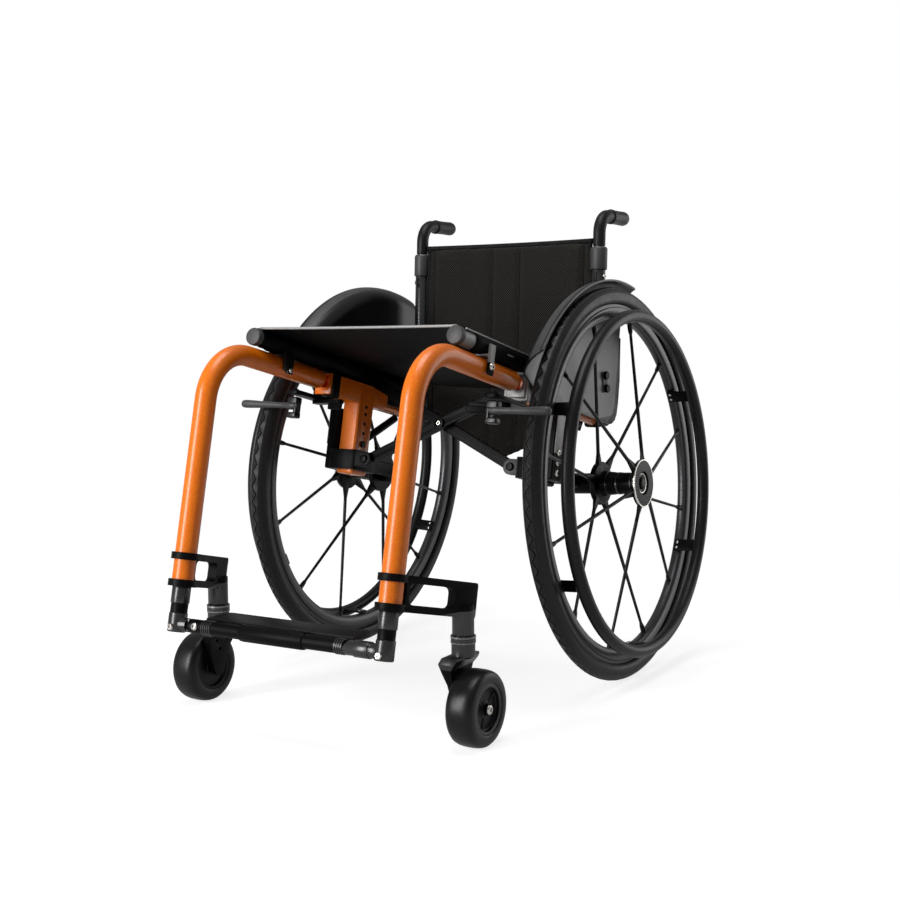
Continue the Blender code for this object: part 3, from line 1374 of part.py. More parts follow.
def caster_fork(name, sign, body):
    """The swivelling fork: a crown on its stem, and one arm on the inner side."""
    stem = Vector((sign * STEM_X, STEM_Y, 0))
    crown_top = STEM_BOTTOM - GAP
    profile = [
        (0, STEM_PIN_TOP),
        (STEM_PIN_RADIUS - 0.001, STEM_PIN_TOP),
        (STEM_PIN_RADIUS, STEM_PIN_TOP - 0.001),
        (STEM_PIN_RADIUS, crown_top),
        (CROWN_RADIUS, crown_top),
        (CROWN_RADIUS, crown_top - CROWN_BAND),
        (CROWN_RADIUS - 0.0008, crown_top - CROWN_BAND - 0.0005),
        (CROWN_RADIUS - 0.0008, CROWN_BOTTOM + 0.002),
        (CROWN_RADIUS - 0.003, CROWN_BOTTOM),
        (0, CROWN_BOTTOM),
    ]
    crown = turned(name, profile, 16, stem, closed=False)
    eye = CASTER_RADIUS
    low = eye - FORK_EYE_RADIUS - 0.002
    outer = FORK_ARM_X + FORK_ARM_THICKNESS / 2
    inner = FORK_ARM_X - FORK_ARM_THICKNESS / 2
    front = [
        (outer, low),
        (outer, 0.101),
        (0.216, 0.1135),
        (0.216, 0.1165),
        (0.1925, 0.1165),
        (0.1895, 0.108),
        (inner - 0.001, 0.080),
        (inner, 0.068),
        (inner, low),
    ]
    front = [(sign * x, z) for x, z in front]
    arm = solid(name + "_arm", front, 0.2, (0, CASTER_Y, 0), LEVEL_FRONT_VIEW)
    side = [
        (-0.4555, 0.1085),
        (-0.4510, 0.1155),
        (-0.3960, 0.1165),
        (-0.3935, 0.1085),
        (-0.4020, 0.0930),
        *reversed(arc((CASTER_Y, eye), FORK_EYE_RADIUS, -165, -5, 8)),
        (-0.4530, 0.0960),
    ]
    shape = solid(name + "_side", side, 0.2, (sign * STEM_X, 0, 0), LEVEL_SIDE_VIEW)
    combine(arm, [shape], "INTERSECT")
    holes = [
        ((sign * 0.17, y, z), (sign * 0.23, y, z))
        for y, z in ((-0.4390, 0.0930), (-0.4180, 0.0930), (-0.4285, 0.0790))
    ]
    combine(arm, [rods(name + "_holes", holes, 0.0028)], "DIFFERENCE")
    hub_inner = CASTER_X - 0.0165
    axle = rods(
        name + "_axle",
        [((sign * FORK_ARM_X, CASTER_Y, eye), (sign * (CASTER_X + 0.0175), CASTER_Y, eye))],
        CASTER_AXLE_RADIUS,
        12,
    )
    boss = rods(
        name + "_boss",
        [((sign * FORK_ARM_X, CASTER_Y, eye), (sign * (hub_inner - RUNNING_GAP), CASTER_Y, eye))],
        0.0085,
        12,
    )
    head_start = CASTER_X + 0.0145
    head = rods(
        name + "_head",
        [((sign * head_start, CASTER_Y, eye), (sign * (head_start + 0.0045), CASTER_Y, eye))],
        CASTER_BOLT_RADIUS,
        12,
    )
    combine(crown, [arm, axle, boss, head])
    settle(crown, name, "black", body)


def caster_wheel(side, sign, body):
    """A small solid tyre on its hub."""
    centre = (sign * CASTER_X, CASTER_Y, CASTER_RADIUS)
    turn = wheel_turn(sign)
    inner = CASTER_HUB_RADIUS + GAP
    half = CASTER_WIDTH / 2
    tyre = mirrored_profile(
        [
            (inner, half - 0.0005),
            (CASTER_RADIUS - 0.0055, half),
            (CASTER_RADIUS - 0.0015, half - 0.004),
            (CASTER_RADIUS, half - 0.012),
        ]
    )
    name = f"{side}_caster_tyre"
    settle(turned(name, tyre, CASTER_STEPS, centre, turn), name, "rubber", body, 50)
    bore = CASTER_AXLE_RADIUS + RUNNING_GAP
    recess = CASTER_HUB_RADIUS - 0.0045
    hub_profile = [
        (bore, 0.0140),
        (recess - 0.0015, 0.0140),
        (recess, 0.0185),
        (CASTER_HUB_RADIUS, 0.0185),
        (CASTER_HUB_RADIUS, -0.0185),
        (recess, -0.0185),
        (recess - 0.0015, -0.0165),
        (bore, -0.0165),
    ]
    name = f"{side}_caster_hub"
    settle(turned(name, hub_profile, CASTER_STEPS, centre, turn), name, "dark", body)


left_frame = body_empty("left_frame_body", (0, 0, 0))
right_frame = body_empty("right_frame_body", (0, 0, 0))
front_arm = body_empty("front_arm_body", at(-PIVOT_X, FRONT_ARM_S, PIVOT_H), right_frame)
rear_arm = body_empty("rear_arm_body", at(PIVOT_X, REAR_ARM_S, PIVOT_H), left_frame)
footrest = body_empty("footrest_body", at(-FOOT_HINGE_X, 0, FOOT_BAR_H), right_frame)

for side, sign, frame, rail_body in (
    ("left", 1, left_frame, front_arm),
    ("right", -1, right_frame, rear_arm),
):
    wheel_place = on_axle(sign, 0)
    caster_place = (sign * CASTER_X, CASTER_Y, CASTER_RADIUS)
    wheel_body = body_empty(f"{side}_wheel_body", wheel_place, frame)
    button_body = body_empty(f"{side}_button_body", wheel_place, wheel_body)
    fork_body = body_empty(f"{side}_fork_body", (sign * STEM_X, STEM_Y, STEM_BOTTOM), frame)
    caster_body = body_empty(f"{side}_caster_body", caster_place, fork_body)
    lever_place = at(sign * LOCK_LEVER_X, LOCK_LEVER_S, LOCK_LEVER_H)
    shoe_place = at(sign * LOCK_SHOE_X, LOCK_SHOE_S, LOCK_BAR_H)
    lever_body = body_empty(f"{side}_lever_body", lever_place, frame)
    shoe_body = body_empty(f"{side}_shoe_body", shoe_place, frame)
    handle_body = body_empty(f"{side}_handle_body", on_cane(sign, 0), frame)

    front_tube(f"{side}_front_tube", sign, frame)
    side_frame(f"{side}_side_frame", sign, frame)
    frame_strut(f"{side}_frame_strut", sign, frame)
    tube_clamp(f"{side}_tube_clamp", sign, frame)
    seat_saddle(f"{side}_seat_saddle", sign, frame)
    caster_bracket(f"{side}_caster_bracket", sign, frame)
    leg_sleeve(f"{side}_leg_sleeve", sign, frame)
    axle_block(f"{side}_axle_block", sign, frame)
    brace_pin(f"{side}_brace_pin", sign, frame)
    side_guard(f"{side}_side_guard", sign, frame)
    back_cane(f"{side}_back_cane", sign, frame)
    cane_collar(f"{side}_cane_collar", sign, frame)
    brake_body(f"{side}_brake_body", sign, frame)
    brake_lever(f"{side}_brake_lever", sign, lever_body)
    brake_shoe(f"{side}_brake_shoe", sign, shoe_body)
    push_handle(f"{side}_push_handle", sign, handle_body)
    handle_grip(f"{side}_handle_grip", sign, handle_body)
    rear_wheel(side, sign, wheel_body, button_body)
    caster_fork(f"{side}_caster_fork", sign, fork_body)
    caster_wheel(side, sign, caster_body)
    seat_rail(f"{side}_seat_rail", sign, rail_body)

brace_arm("front_brace_arm", 1, front_arm)
brace_arm("rear_brace_arm", -1, rear_arm)
brace_centre_bolt("brace_centre_bolt", front_arm)
seat_sling("seat_sling", left_frame)
back_upholstery("back_upholstery", left_frame)
footrest_bar("footrest_bar", footrest)
footplate("footplate", footrest)

for tool in cutters.objects:
    if tool.parent is None:
        tool.parent = origin
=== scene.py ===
import json
import math

import bmesh
import bpy
from mathutils import Matrix, Vector
from mathutils.bvhtree import BVHTree

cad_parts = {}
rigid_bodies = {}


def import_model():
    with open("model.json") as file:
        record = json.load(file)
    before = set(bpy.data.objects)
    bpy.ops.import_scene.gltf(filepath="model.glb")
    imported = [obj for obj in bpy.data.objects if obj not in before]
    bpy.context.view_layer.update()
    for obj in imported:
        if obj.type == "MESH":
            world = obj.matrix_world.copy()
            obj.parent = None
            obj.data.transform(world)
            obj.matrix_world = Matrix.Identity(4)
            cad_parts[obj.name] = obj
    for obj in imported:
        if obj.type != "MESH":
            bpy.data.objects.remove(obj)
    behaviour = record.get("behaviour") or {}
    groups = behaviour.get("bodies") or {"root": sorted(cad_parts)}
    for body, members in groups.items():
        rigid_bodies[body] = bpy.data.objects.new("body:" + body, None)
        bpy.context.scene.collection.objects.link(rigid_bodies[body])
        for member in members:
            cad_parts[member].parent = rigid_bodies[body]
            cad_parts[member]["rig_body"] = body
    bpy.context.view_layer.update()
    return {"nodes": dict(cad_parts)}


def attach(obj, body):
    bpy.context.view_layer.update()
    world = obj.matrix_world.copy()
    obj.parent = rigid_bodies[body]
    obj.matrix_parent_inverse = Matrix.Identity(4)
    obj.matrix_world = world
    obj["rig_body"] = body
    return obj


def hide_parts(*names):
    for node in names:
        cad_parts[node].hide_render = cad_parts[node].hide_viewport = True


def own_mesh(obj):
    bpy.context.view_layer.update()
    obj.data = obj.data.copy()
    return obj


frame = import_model()
print("frame loaded:", len(frame["nodes"]), "CAD nodes")

# The chair's own frame: the rear axle stands at y = axleShift, and the seat line tips back
axleShift = 0.130857
seatSlope = math.radians(12.5)
seatCorner = (-0.4634 + axleShift, 0.5165)
sideways = Vector((1, 0, 0))
backward = Vector((0, math.cos(seatSlope), -math.sin(seatSlope)))
upward = Vector((0, math.sin(seatSlope), math.cos(seatSlope)))


def seatPoint(x, s, h):  # s runs back along the seat line, h stands square to it
    return Vector((x, *seatCorner)) + backward * s + upward * h


def seatPlace(x, s, h):  # a matrix at a point of the seat line, tipped back with it
    return Matrix.Translation(seatPoint(x, s, h)) @ Matrix.Rotation(-seatSlope, 4, "X")


def turnedTo(xAxis, yAxis, place):  # a matrix from two directions and a place
    x, y = Vector(xAxis).normalized(), Vector(yAxis).normalized()
    turn = Matrix((x, y, x.cross(y))).transposed().to_4x4()
    return Matrix.Translation(place) @ turn


def facing(way, place):  # a matrix that sends Z along a direction
    return Matrix.Translation(place) @ Vector(way).to_track_quat("Z", "Y").to_matrix().to_4x4()


# Camera and lamps
camera = {
    "place": (1.0838, -1.8862 + axleShift, 0.5214),
    "yaw": 31.41,
    "pitch": -4.69,
    "roll": -0.43,
    "lens": 53.67,
}
lamps = {
    "frontSoftbox": {"place": (-1.1, -2.7, 1.05), "aim": (0, 0, 0.45), "size": (0.7, 1.9), "power": 66},
    "backSoftbox": {"place": (1.7, 2.5, 0.9), "aim": (0.1, 0, 0.3), "size": (1.8, 1.8), "power": 16},
    "topSoftbox": {"place": (0.1, -0.3, 2.7), "aim": (0, 0, 0.4), "size": (1.4, 1.4), "power": 30},
}


def addCamera():
    yaw, pitch, roll = (math.radians(camera[key]) for key in ("yaw", "pitch", "roll"))
    level = Vector((-math.sin(yaw), math.cos(yaw), 0)) * math.cos(pitch)
    ahead = level + Vector((0, 0, math.sin(pitch)))
    right = ahead.cross(Vector((0, 0, 1))).normalized()
    up = right.cross(ahead)
    x = right * math.cos(roll) + up * math.sin(roll)
    y = up * math.cos(roll) - right * math.sin(roll)
    lensData = bpy.data.cameras.new("camera")
    lensData.lens = camera["lens"]
    lensData.sensor_width = 36
    lensData.clip_end = 100
    eye = bpy.data.objects.new("camera", lensData)
    eye.matrix_world = turnedTo(x, y, camera["place"])
    bpy.context.scene.collection.objects.link(eye)
    bpy.context.scene.camera = eye


def addLamp(name, place, aim, size, power):
    lamp = bpy.data.lights.new(name, "AREA")
    lamp.shape = "RECTANGLE"
    lamp.size, lamp.size_y = size
    lamp.energy = power
    holder = bpy.data.objects.new(name, lamp)
    holder.location = place
    holder.rotation_euler = (Vector(aim) - Vector(place)).to_track_quat("-Z", "Y").to_euler()
    bpy.context.scene.collection.objects.link(holder)


addCamera()
bpy.context.scene.view_settings.view_transform = "Standard"
for name, values in lamps.items():
    addLamp(name, **values)


def linear(hexColour):  # sRGB hex to linear
    channels = [int(hexColour[i : i + 2], 16) / 255 for i in (1, 3, 5)]
    return tuple(c / 12.92 if c <= 0.04045 else ((c + 0.055) / 1.055) ** 2.4 for c in channels)


def setInput(socket, value):
    if isinstance(value, str):
        value = (*linear(value), 1.0)
    socket.default_value = value


def addNode(tree, kind, settings=None, links=None, into=None):
    # a node with its settings and links; stops are a ramp's places and hex colours
    node = tree.nodes.new(kind)
    for key, value in (settings or {}).items():
        if key == "stops":
            while len(node.color_ramp.elements) < len(value):
                node.color_ramp.elements.new(0.5)
            for stop, (place, tone) in zip(node.color_ramp.elements, value):
                stop.position = place
                stop.color = (*linear(tone), 1)
        elif isinstance(key, str) and hasattr(node, key):
            setattr(node, key, value)
        else:
            setInput(node.inputs[key], value)
    for key, output in (links or {}).items():
        tree.links.new(output, node.inputs[key])
    if into:
        tree.links.new(node.outputs[0], into)
    return node


def newFinish(name, colour, roughness, metallic=0.0, **sockets):
    finish = bpy.data.materials.new(name)
    finish.use_nodes = True
    shader = finish.node_tree.nodes["Principled BSDF"]
    setInput(shader.inputs["Base Color"], colour)
    shader.inputs["Roughness"].default_value = roughness
    shader.inputs["Metallic"].default_value = metallic
    for key, value in sockets.items():
        setInput(shader.inputs[key.replace("_", " ")], value)
    return finish, finish.node_tree, shader


def grain(tree, shader, scale, height, detail, rough, tones):
    # fine unevenness of a surface: bump, and drifting roughness and colour
    place = addNode(tree, "ShaderNodeTexCoord").outputs["Object"]
    fine = addNode(tree, "ShaderNodeTexNoise", {"Scale": scale, "Detail": detail}, {"Vector": place})
    addNode(
        tree,
        "ShaderNodeBump",
        {"Strength": 1.0, "Distance": height},
        {"Height": fine.outputs["Fac"]},
        shader.inputs["Normal"],
    )
    broad = addNode(tree, "ShaderNodeTexNoise", {"Scale": 14.0, "Detail": 3.0}, {"Vector": place})
    both = addNode(
        tree,
        "ShaderNodeMath",
        {"operation": "ADD"},
        {0: fine.outputs["Fac"], 1: broad.outputs["Fac"]},
    )
    addNode(
        tree,
        "ShaderNodeMapRange",
        {"From Min": 0.75, "From Max": 1.25, "To Min": rough[0], "To Max": rough[1]},
        {"Value": both.outputs["Value"]},
        shader.inputs["Roughness"],
    )
    share = addNode(
        tree,
        "ShaderNodeMapRange",
        {"From Min": 0.75, "From Max": 1.25},
        {"Value": both.outputs["Value"]},
    )
    addNode(
        tree,
        "ShaderNodeValToRGB",
        {"stops": ((0.0, tones[0]), (1.0, tones[1]))},
        {"Fac": share.outputs["Result"]},
        shader.inputs["Base Color"],
    )


def powderCoat():
    # polyester powder with aluminium flake under clear coat: a warm orange that glitters finely
    finish, tree, shader = newFinish(
        "powderCoatOrange", "#FB7C06", 0.34, 0.0, Coat_Weight=0.16, Coat_Roughness=0.14
    )
    place = addNode(tree, "ShaderNodeTexCoord").outputs["Object"]
    # flakes of 0.1 mm would not show, so they are drawn 0.9 mm across
    flakes = addNode(tree, "ShaderNodeTexVoronoi", {"Scale": 1150.0}, {"Vector": place})
    lot = addNode(tree, "ShaderNodeSeparateColor", None, {"Color": flakes.outputs["Color"]})
    addNode(
        tree,
        "ShaderNodeValToRGB",
        {"stops": ((0.0, "#F47002"), (0.6, "#FB7A04"), (1.0, "#FF9214"))},
        {"Fac": lot.outputs["Red"]},
        shader.inputs["Base Color"],
    )
    peel = addNode(tree, "ShaderNodeTexNoise", {"Scale": 260.0, "Detail": 1.0}, {"Vector": place})
    addNode(
        tree,
        "ShaderNodeBump",
        {"Strength": 0.3, "Distance": 0.0003},
        {"Height": peel.outputs["Fac"]},
        shader.inputs["Normal"],
    )
    return finish


def weave(tree, shader, thread, height, tones):
    # yarns crossing in two directions, thread metres apart
    scale = math.pi / 20.0 / thread
    place = addNode(tree, "ShaderNodeTexCoord").outputs["Object"]
    bands = [
        addNode(
            tree,
            "ShaderNodeTexWave",
            {"wave_type": "BANDS", "bands_direction": way, "wave_profile": "SIN", "Scale": scale},
            {"Vector": place},
        ).outputs["Fac"]
        for way in ("X", "Y")
    ]
    crossed = addNode(tree, "ShaderNodeMath", {"operation": "MAXIMUM"}, {0: bands[0], 1: bands[1]})
    addNode(
        tree,
        "ShaderNodeValToRGB",
        {"stops": ((0.25, tones[0]), (0.95, tones[1]))},
        {"Fac": crossed.outputs["Value"]},
        shader.inputs["Base Color"],
    )
    addNode(
        tree,
        "ShaderNodeBump",
        {"Strength": 0.8, "Distance": height},
        {"Height": crossed.outputs["Value"]},
        shader.inputs["Normal"],
    )


def meshCloth():
    # knitted spacer fabric: a dense honeycomb of small holes, dull with a faint bloom; the holes are
    # painted near-black as the shade inside them
    finish, tree, shader = newFinish(
        "spacerMesh", "#171614", 0.80, Specular_IOR_Level=0.12, Sheen_Weight=0.08
    )
    place = addNode(tree, "ShaderNodeTexCoord").outputs["Object"]
    turn = {"Scale": (1, 0.0, 1), "Rotation": (0, math.pi / 4, 0)}
    flat = addNode(tree, "ShaderNodeMapping", turn, {"Vector": place})
    # the real holes are 2 mm apart, drawn at 3 mm so that they show
    holes = addNode(
        tree,
        "ShaderNodeTexVoronoi",
        {"Scale": 330.0, "Randomness": 0.04},
        {"Vector": flat.outputs["Vector"]},
    )
    # near-black at each hole's middle is painted shade; the brown between is the cloth's own colour
    addNode(
        tree,
        "ShaderNodeValToRGB",
        {"stops": ((0.20, "#020202"), (0.38, "#100F0E"), (0.58, "#3E3A35"))},
        {"Fac": holes.outputs["Distance"]},
        shader.inputs["Base Color"],
    )
    addNode(
        tree,
        "ShaderNodeBump",
        {"Strength": 0.9, "Distance": 0.0006},
        {"Height": holes.outputs["Distance"]},
        shader.inputs["Normal"],
    )
    return finish


# name: colour, roughness, metallic, specular level, grain scale, bump height, roughness range, tones
plainFinishes = {
    # bead blasted aluminium, anodised black: even, dull, with a soft light along each edge; it also stands
    # as painted shade on the right axle block's ear
    "anodisedBlack": ("#060607", 0.42, 0.0, 0.09, 900, 0.00010, (0.38, 0.50), ("#050506", "#080809")),
    # drawn aluminium tube, anodised dark grey: satin metal with one long highlight; also painted on the
    # caster forks' shoulders as their highlight
    "anodisedGrey": ("#464647", 0.28, 0.80, 0.5, 420, 0.00002, (0.25, 0.32), ("#434344", "#4A4A4B")),
    # die cast zinc parts, sprayed dull grey; the same grey is also painted as highlights, on the crest of
    # the guard's roll and on the caster's lip ring
    "castGrey": ("#474748", 0.46, 0.2, 0.35, 700, 0.00012, (0.40, 0.54), ("#404041", "#4F4F50")),
    # bead blasted aluminium left silver grey: pale and quiet, hardly a reflection; also used for the
    # painted highlight lips on the caster forks' crowns
    "blastedSilver": ("#8C8C8B", 0.48, 0.35, 0.5, 800, 0.00010, (0.42, 0.56), ("#838382", "#959594")),
    # extruded aluminium rim, satin dark anodising: reflects in broad soft bands; also used for the painted
    # highlight bands on the hub's barrel
    "satinRim": ("#4A4A4C", 0.32, 0.75, 0.5, 380, 0.00002, (0.28, 0.36), ("#464648", "#4F4F51")),
    # machined hub, black anodised: crisp dark metal with light on its edges; also the painted shade of the
    # post's holes and of the cane's slot
    "turnedBlack": ("#050506", 0.34, 0.0, 0.10, 600, 0.00005, (0.29, 0.40), ("#040405", "#08080A")),
    # flat blade spokes, drawn and coated black: a thin grey glint down each
    "coatedSpoke": ("#1C1C1D", 0.32, 0.5, 0.4, 500, 0.00005, (0.27, 0.38), ("#171718", "#222223")),
    # stainless screws and pins: bright turned steel; also used for the hub cap's rings, the edge one a
    # painted highlight
    "stainlessSteel": ("#CFCCC6", 0.24, 1.0, 0.5, 700, 0.00003, (0.18, 0.32), ("#C4C1BB", "#DAD7D1")),
    # handrim tube, hard anodised black: darker than the rim, with one soft streak round it
    "handrimBlack": ("#232324", 0.36, 0.6, 0.4, 420, 0.00004, (0.32, 0.42), ("#1D1D1E", "#29292A")),
    # vulcanised rubber with a dusting of wear on the tread
    "tyreRubber": ("#161617", 0.42, 0.0, 0.30, 160, 0.00016, (0.36, 0.48), ("#121213", "#1C1C1D")),
    # soft rubber dipped over the handle: very dark, with a broad soft shine
    "dippedRubber": ("#0A0A0B", 0.44, 0.0, 0.28, 800, 0.00016, (0.38, 0.50), ("#080809", "#0E0E0F")),
    # injection moulded nylon with a spark eroded skin
    "mouldedNylon": ("#0A0A0B", 0.42, 0.0, 0.20, 1100, 0.00014, (0.36, 0.50), ("#080809", "#0E0E0F")),
    # cast polyurethane: smooth, slightly waxy black
    "castUrethane": ("#09090A", 0.34, 0.0, 0.32, 300, 0.00006, (0.30, 0.40), ("#070708", "#0C0C0D")),
    # black anodised guard lip: smoother than the brackets, with a soft light along its roll
    "guardBlack": ("#0A0A0B", 0.34, 0.0, 0.40, 500, 0.00005, (0.30, 0.40), ("#08080A", "#0D0D0E")),
    # pressed aluminium guard, on its faces towards the wheel: mid grey satin
    "guardOuterGrey": ("#7E7D7C", 0.42, 0.25, 0.5, 500, 0.00005, (0.36, 0.48), ("#767574", "#868584")),
}


def makeFinishes():
    finishes = {"powderCoatOrange": powderCoat(), "spacerMesh": meshCloth()}
    for name, (tone, dull, metal, gloss, scale, height, rough, tones) in plainFinishes.items():
        finish, tree, shader = newFinish(name, tone, dull, metal, Specular_IOR_Level=gloss)
        grain(tree, shader, scale, height, 2.0, rough, tones)
        finishes[name] = finish
    # coated nylon of the sling: 1 mm basket weave, drawn at 1.6 mm to show
    finish, tree, shader = newFinish("nylonSling", "#050506", 0.60, Specular_IOR_Level=0.08)
    weave(tree, shader, 0.0016, 0.0002, ("#030304", "#08080A"))
    finishes["nylonSling"] = finish
    # woven polyester binding: ribs 1.5 mm apart, a little lighter than the cloth it edges
    finish, tree, shader = newFinish("bindingTape", "#0C0C0D", 0.60, Specular_IOR_Level=0.15)
    weave(tree, shader, 0.0015, 0.00022, ("#08080A", "#131314"))
    finishes["bindingTape"] = finish
    # grey piping along the front and sides of the sling: its pale grey is partly a painted highlight, the
    # light from above along the edge
    finish, tree, shader = newFinish("greyPiping", "#A8A8A6", 0.42, 0.2, Specular_IOR_Level=0.5)
    weave(tree, shader, 0.0014, 0.00015, ("#989896", "#B6B6B4"))
    finishes["greyPiping"] = finish
    return finishes


finishes = makeFinishes()
print("finishes made:", len(finishes))


studio = {
    "world": 0.11,
    "worldInGloss": 0.22,
    "floor": 14,
    "glow": 0.80,
    "floorInGloss": 0.35,
    "fade": (0.6, 1.6),
}


def seenShare(tree, glossyShare):  # 1 to the camera and through glass, and a share in reflections
    rays = addNode(tree, "ShaderNodeLightPath")
    seen = addNode(
        tree,
        "ShaderNodeMath",
        {"operation": "MAXIMUM"},
        {0: rays.outputs["Is Camera Ray"], 1: rays.outputs["Is Transmission Ray"]},
    )
    glossy = addNode(
        tree,
        "ShaderNodeMath",
        {"operation": "MULTIPLY", 1: glossyShare},
        {0: rays.outputs["Is Glossy Ray"]},
    )
    either = addNode(
        tree,
        "ShaderNodeMath",
        {"operation": "MAXIMUM"},
        {0: seen.outputs["Value"], 1: glossy.outputs["Value"]},
    )
    return either.outputs["Value"]


def addWorld():  # white all round, and dim to everything but the eye
    world = bpy.data.worlds.new("studio")
    bpy.context.scene.world = world
    world.use_nodes = True
    tree = world.node_tree
    back = tree.nodes["Background"]
    addNode(
        tree,
        "ShaderNodeMapRange",
        {"To Min": studio["world"], "To Max": 1.0},
        {"Value": seenShare(tree, studio["worldInGloss"])},
        back.inputs["Strength"],
    )
    setInput(back.inputs["Color"], "#FFFFFF")


def addFloor():  # pale near the chair, where it takes the shadow, and plain white further out
    bm = bmesh.new()
    bmesh.ops.create_grid(bm, x_segments=1, y_segments=1, size=studio["floor"])
    mesh = bpy.data.meshes.new("floor")
    bm.to_mesh(mesh)
    bm.free()
    floor = bpy.data.objects.new("floor", mesh)
    bpy.context.scene.collection.objects.link(floor)
    paint, tree, shader = newFinish("paleFloor", "#B4B4B4", 0.9, Specular_IOR_Level=0.0)
    seen = seenShare(tree, studio["floorInGloss"])
    place = addNode(tree, "ShaderNodeTexCoord").outputs["Object"]
    away = addNode(tree, "ShaderNodeVectorMath", {"operation": "LENGTH"}, {0: place})
    start, end = studio["fade"]
    far = addNode(
        tree,
        "ShaderNodeMapRange",
        {"interpolation_type": "SMOOTHSTEP", "From Min": start, "From Max": end},
        {"Value": away.outputs["Value"]},
    )
    glow = addNode(tree, "ShaderNodeMath", {"operation": "MULTIPLY", 1: studio["glow"]}, {0: seen})
    lift = addNode(tree, "ShaderNodeEmission", {"Color": "#FFFFFF"}, {"Strength": glow.outputs["Value"]})
    near = addNode(tree, "ShaderNodeAddShader", None, {0: shader.outputs[0], 1: lift.outputs[0]})
    white = addNode(tree, "ShaderNodeEmission", {"Color": "#FFFFFF", "Strength": 1.0})
    turnWhite = addNode(
        tree,
        "ShaderNodeMath",
        {"operation": "MULTIPLY"},
        {0: far.outputs["Result"], 1: seen},
    )
    addNode(
        tree,
        "ShaderNodeMixShader",
        None,
        {0: turnWhite.outputs["Value"], 1: near.outputs[0], 2: white.outputs[0]},
        tree.nodes["Material Output"].inputs["Surface"],
    )
    mesh.materials.append(paint)


addWorld()
addFloor()


sameSpot = 0.000002  # points closer than this are one


def bodyOf(node):
    return frame["nodes"][node]["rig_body"]


def finishPiece(name, bm, finish, node, angle=40, place=None, body=None):
    # a finished piece that stands for a CAD node and rides on its body
    if place is not None:
        bmesh.ops.transform(bm, matrix=place, verts=bm.verts)
    bmesh.ops.remove_doubles(bm, verts=bm.verts, dist=sameSpot)
    bmesh.ops.recalc_face_normals(bm, faces=bm.faces)
    mesh = bpy.data.meshes.new(name)
    bm.to_mesh(mesh)
    bm.free()
    for one in [finish] if isinstance(finish, str) else finish:
        mesh.materials.append(finishes[one])
    mesh.shade_smooth()
    mesh.set_sharp_from_angle(angle=math.radians(angle))
    piece = bpy.data.objects.new(name, mesh)
    bpy.context.scene.collection.objects.link(piece)
    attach(piece, body or bodyOf(node))
    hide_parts(node)
    return piece


def spinRow(bm, profile, steps, closed):  # a section of (radius, height) turned about Z
    verts = [bm.verts.new((radius, 0, height)) for radius, height in profile]
    edges = [bm.edges.new(pair) for pair in zip(verts, verts[1:])]
    if closed:
        edges.append(bm.edges.new((verts[-1], verts[0])))
    bmesh.ops.spin(
        bm,
        geom=verts + edges,
        cent=(0, 0, 0),
        axis=(0, 0, 1),
        dvec=(0, 0, 0),
        angle=math.tau,
        steps=steps,
        use_merge=True,
    )


def spun(profile, steps, closed=False):
    bm = bmesh.new()
    spinRow(bm, profile, steps, closed)
    bmesh.ops.remove_doubles(bm, verts=bm.verts, dist=sameSpot)
    bmesh.ops.recalc_face_normals(bm, faces=bm.faces)
    return bm


def addSpun(bm, profile, steps, place, closed=False):  # a turned part set into a larger mesh
    before = set(bm.verts)
    spinRow(bm, profile, steps, closed)
    made = [v for v in bm.verts if v not in before]
    bmesh.ops.transform(bm, matrix=place, verts=made)
    return made


def arcPoints(centre, radius, start, end, count):
    angles = [math.radians(start + (end - start) * i / count) for i in range(count + 1)]
    return [(centre[0] + radius * math.cos(a), centre[1] + radius * math.sin(a)) for a in angles]


def mirrored(half):  # a section from its one half, whose last point lies on the middle
    return half + [(r, -h) for r, h in reversed(half[:-1])]


def ringEdges(verts):
    found = set(verts)
    near = {e for v in verts for e in v.link_edges}
    return [e for e in near if all(v in found for v in e.verts)]


def pushRing(bm, edges, move, shrink=1.0):  # extrude an open ring, move it and scale it
    out = bmesh.ops.extrude_edge_only(bm, edges=edges)["geom"]
    verts = [item for item in out if isinstance(item, bmesh.types.BMVert)]
    bmesh.ops.translate(bm, vec=move, verts=verts)
    if shrink != 1.0:
        middle = sum((v.co for v in verts), Vector()) / len(verts)
        for v in verts:
            v.co = middle + (v.co - middle) * shrink
    return ringEdges(verts)


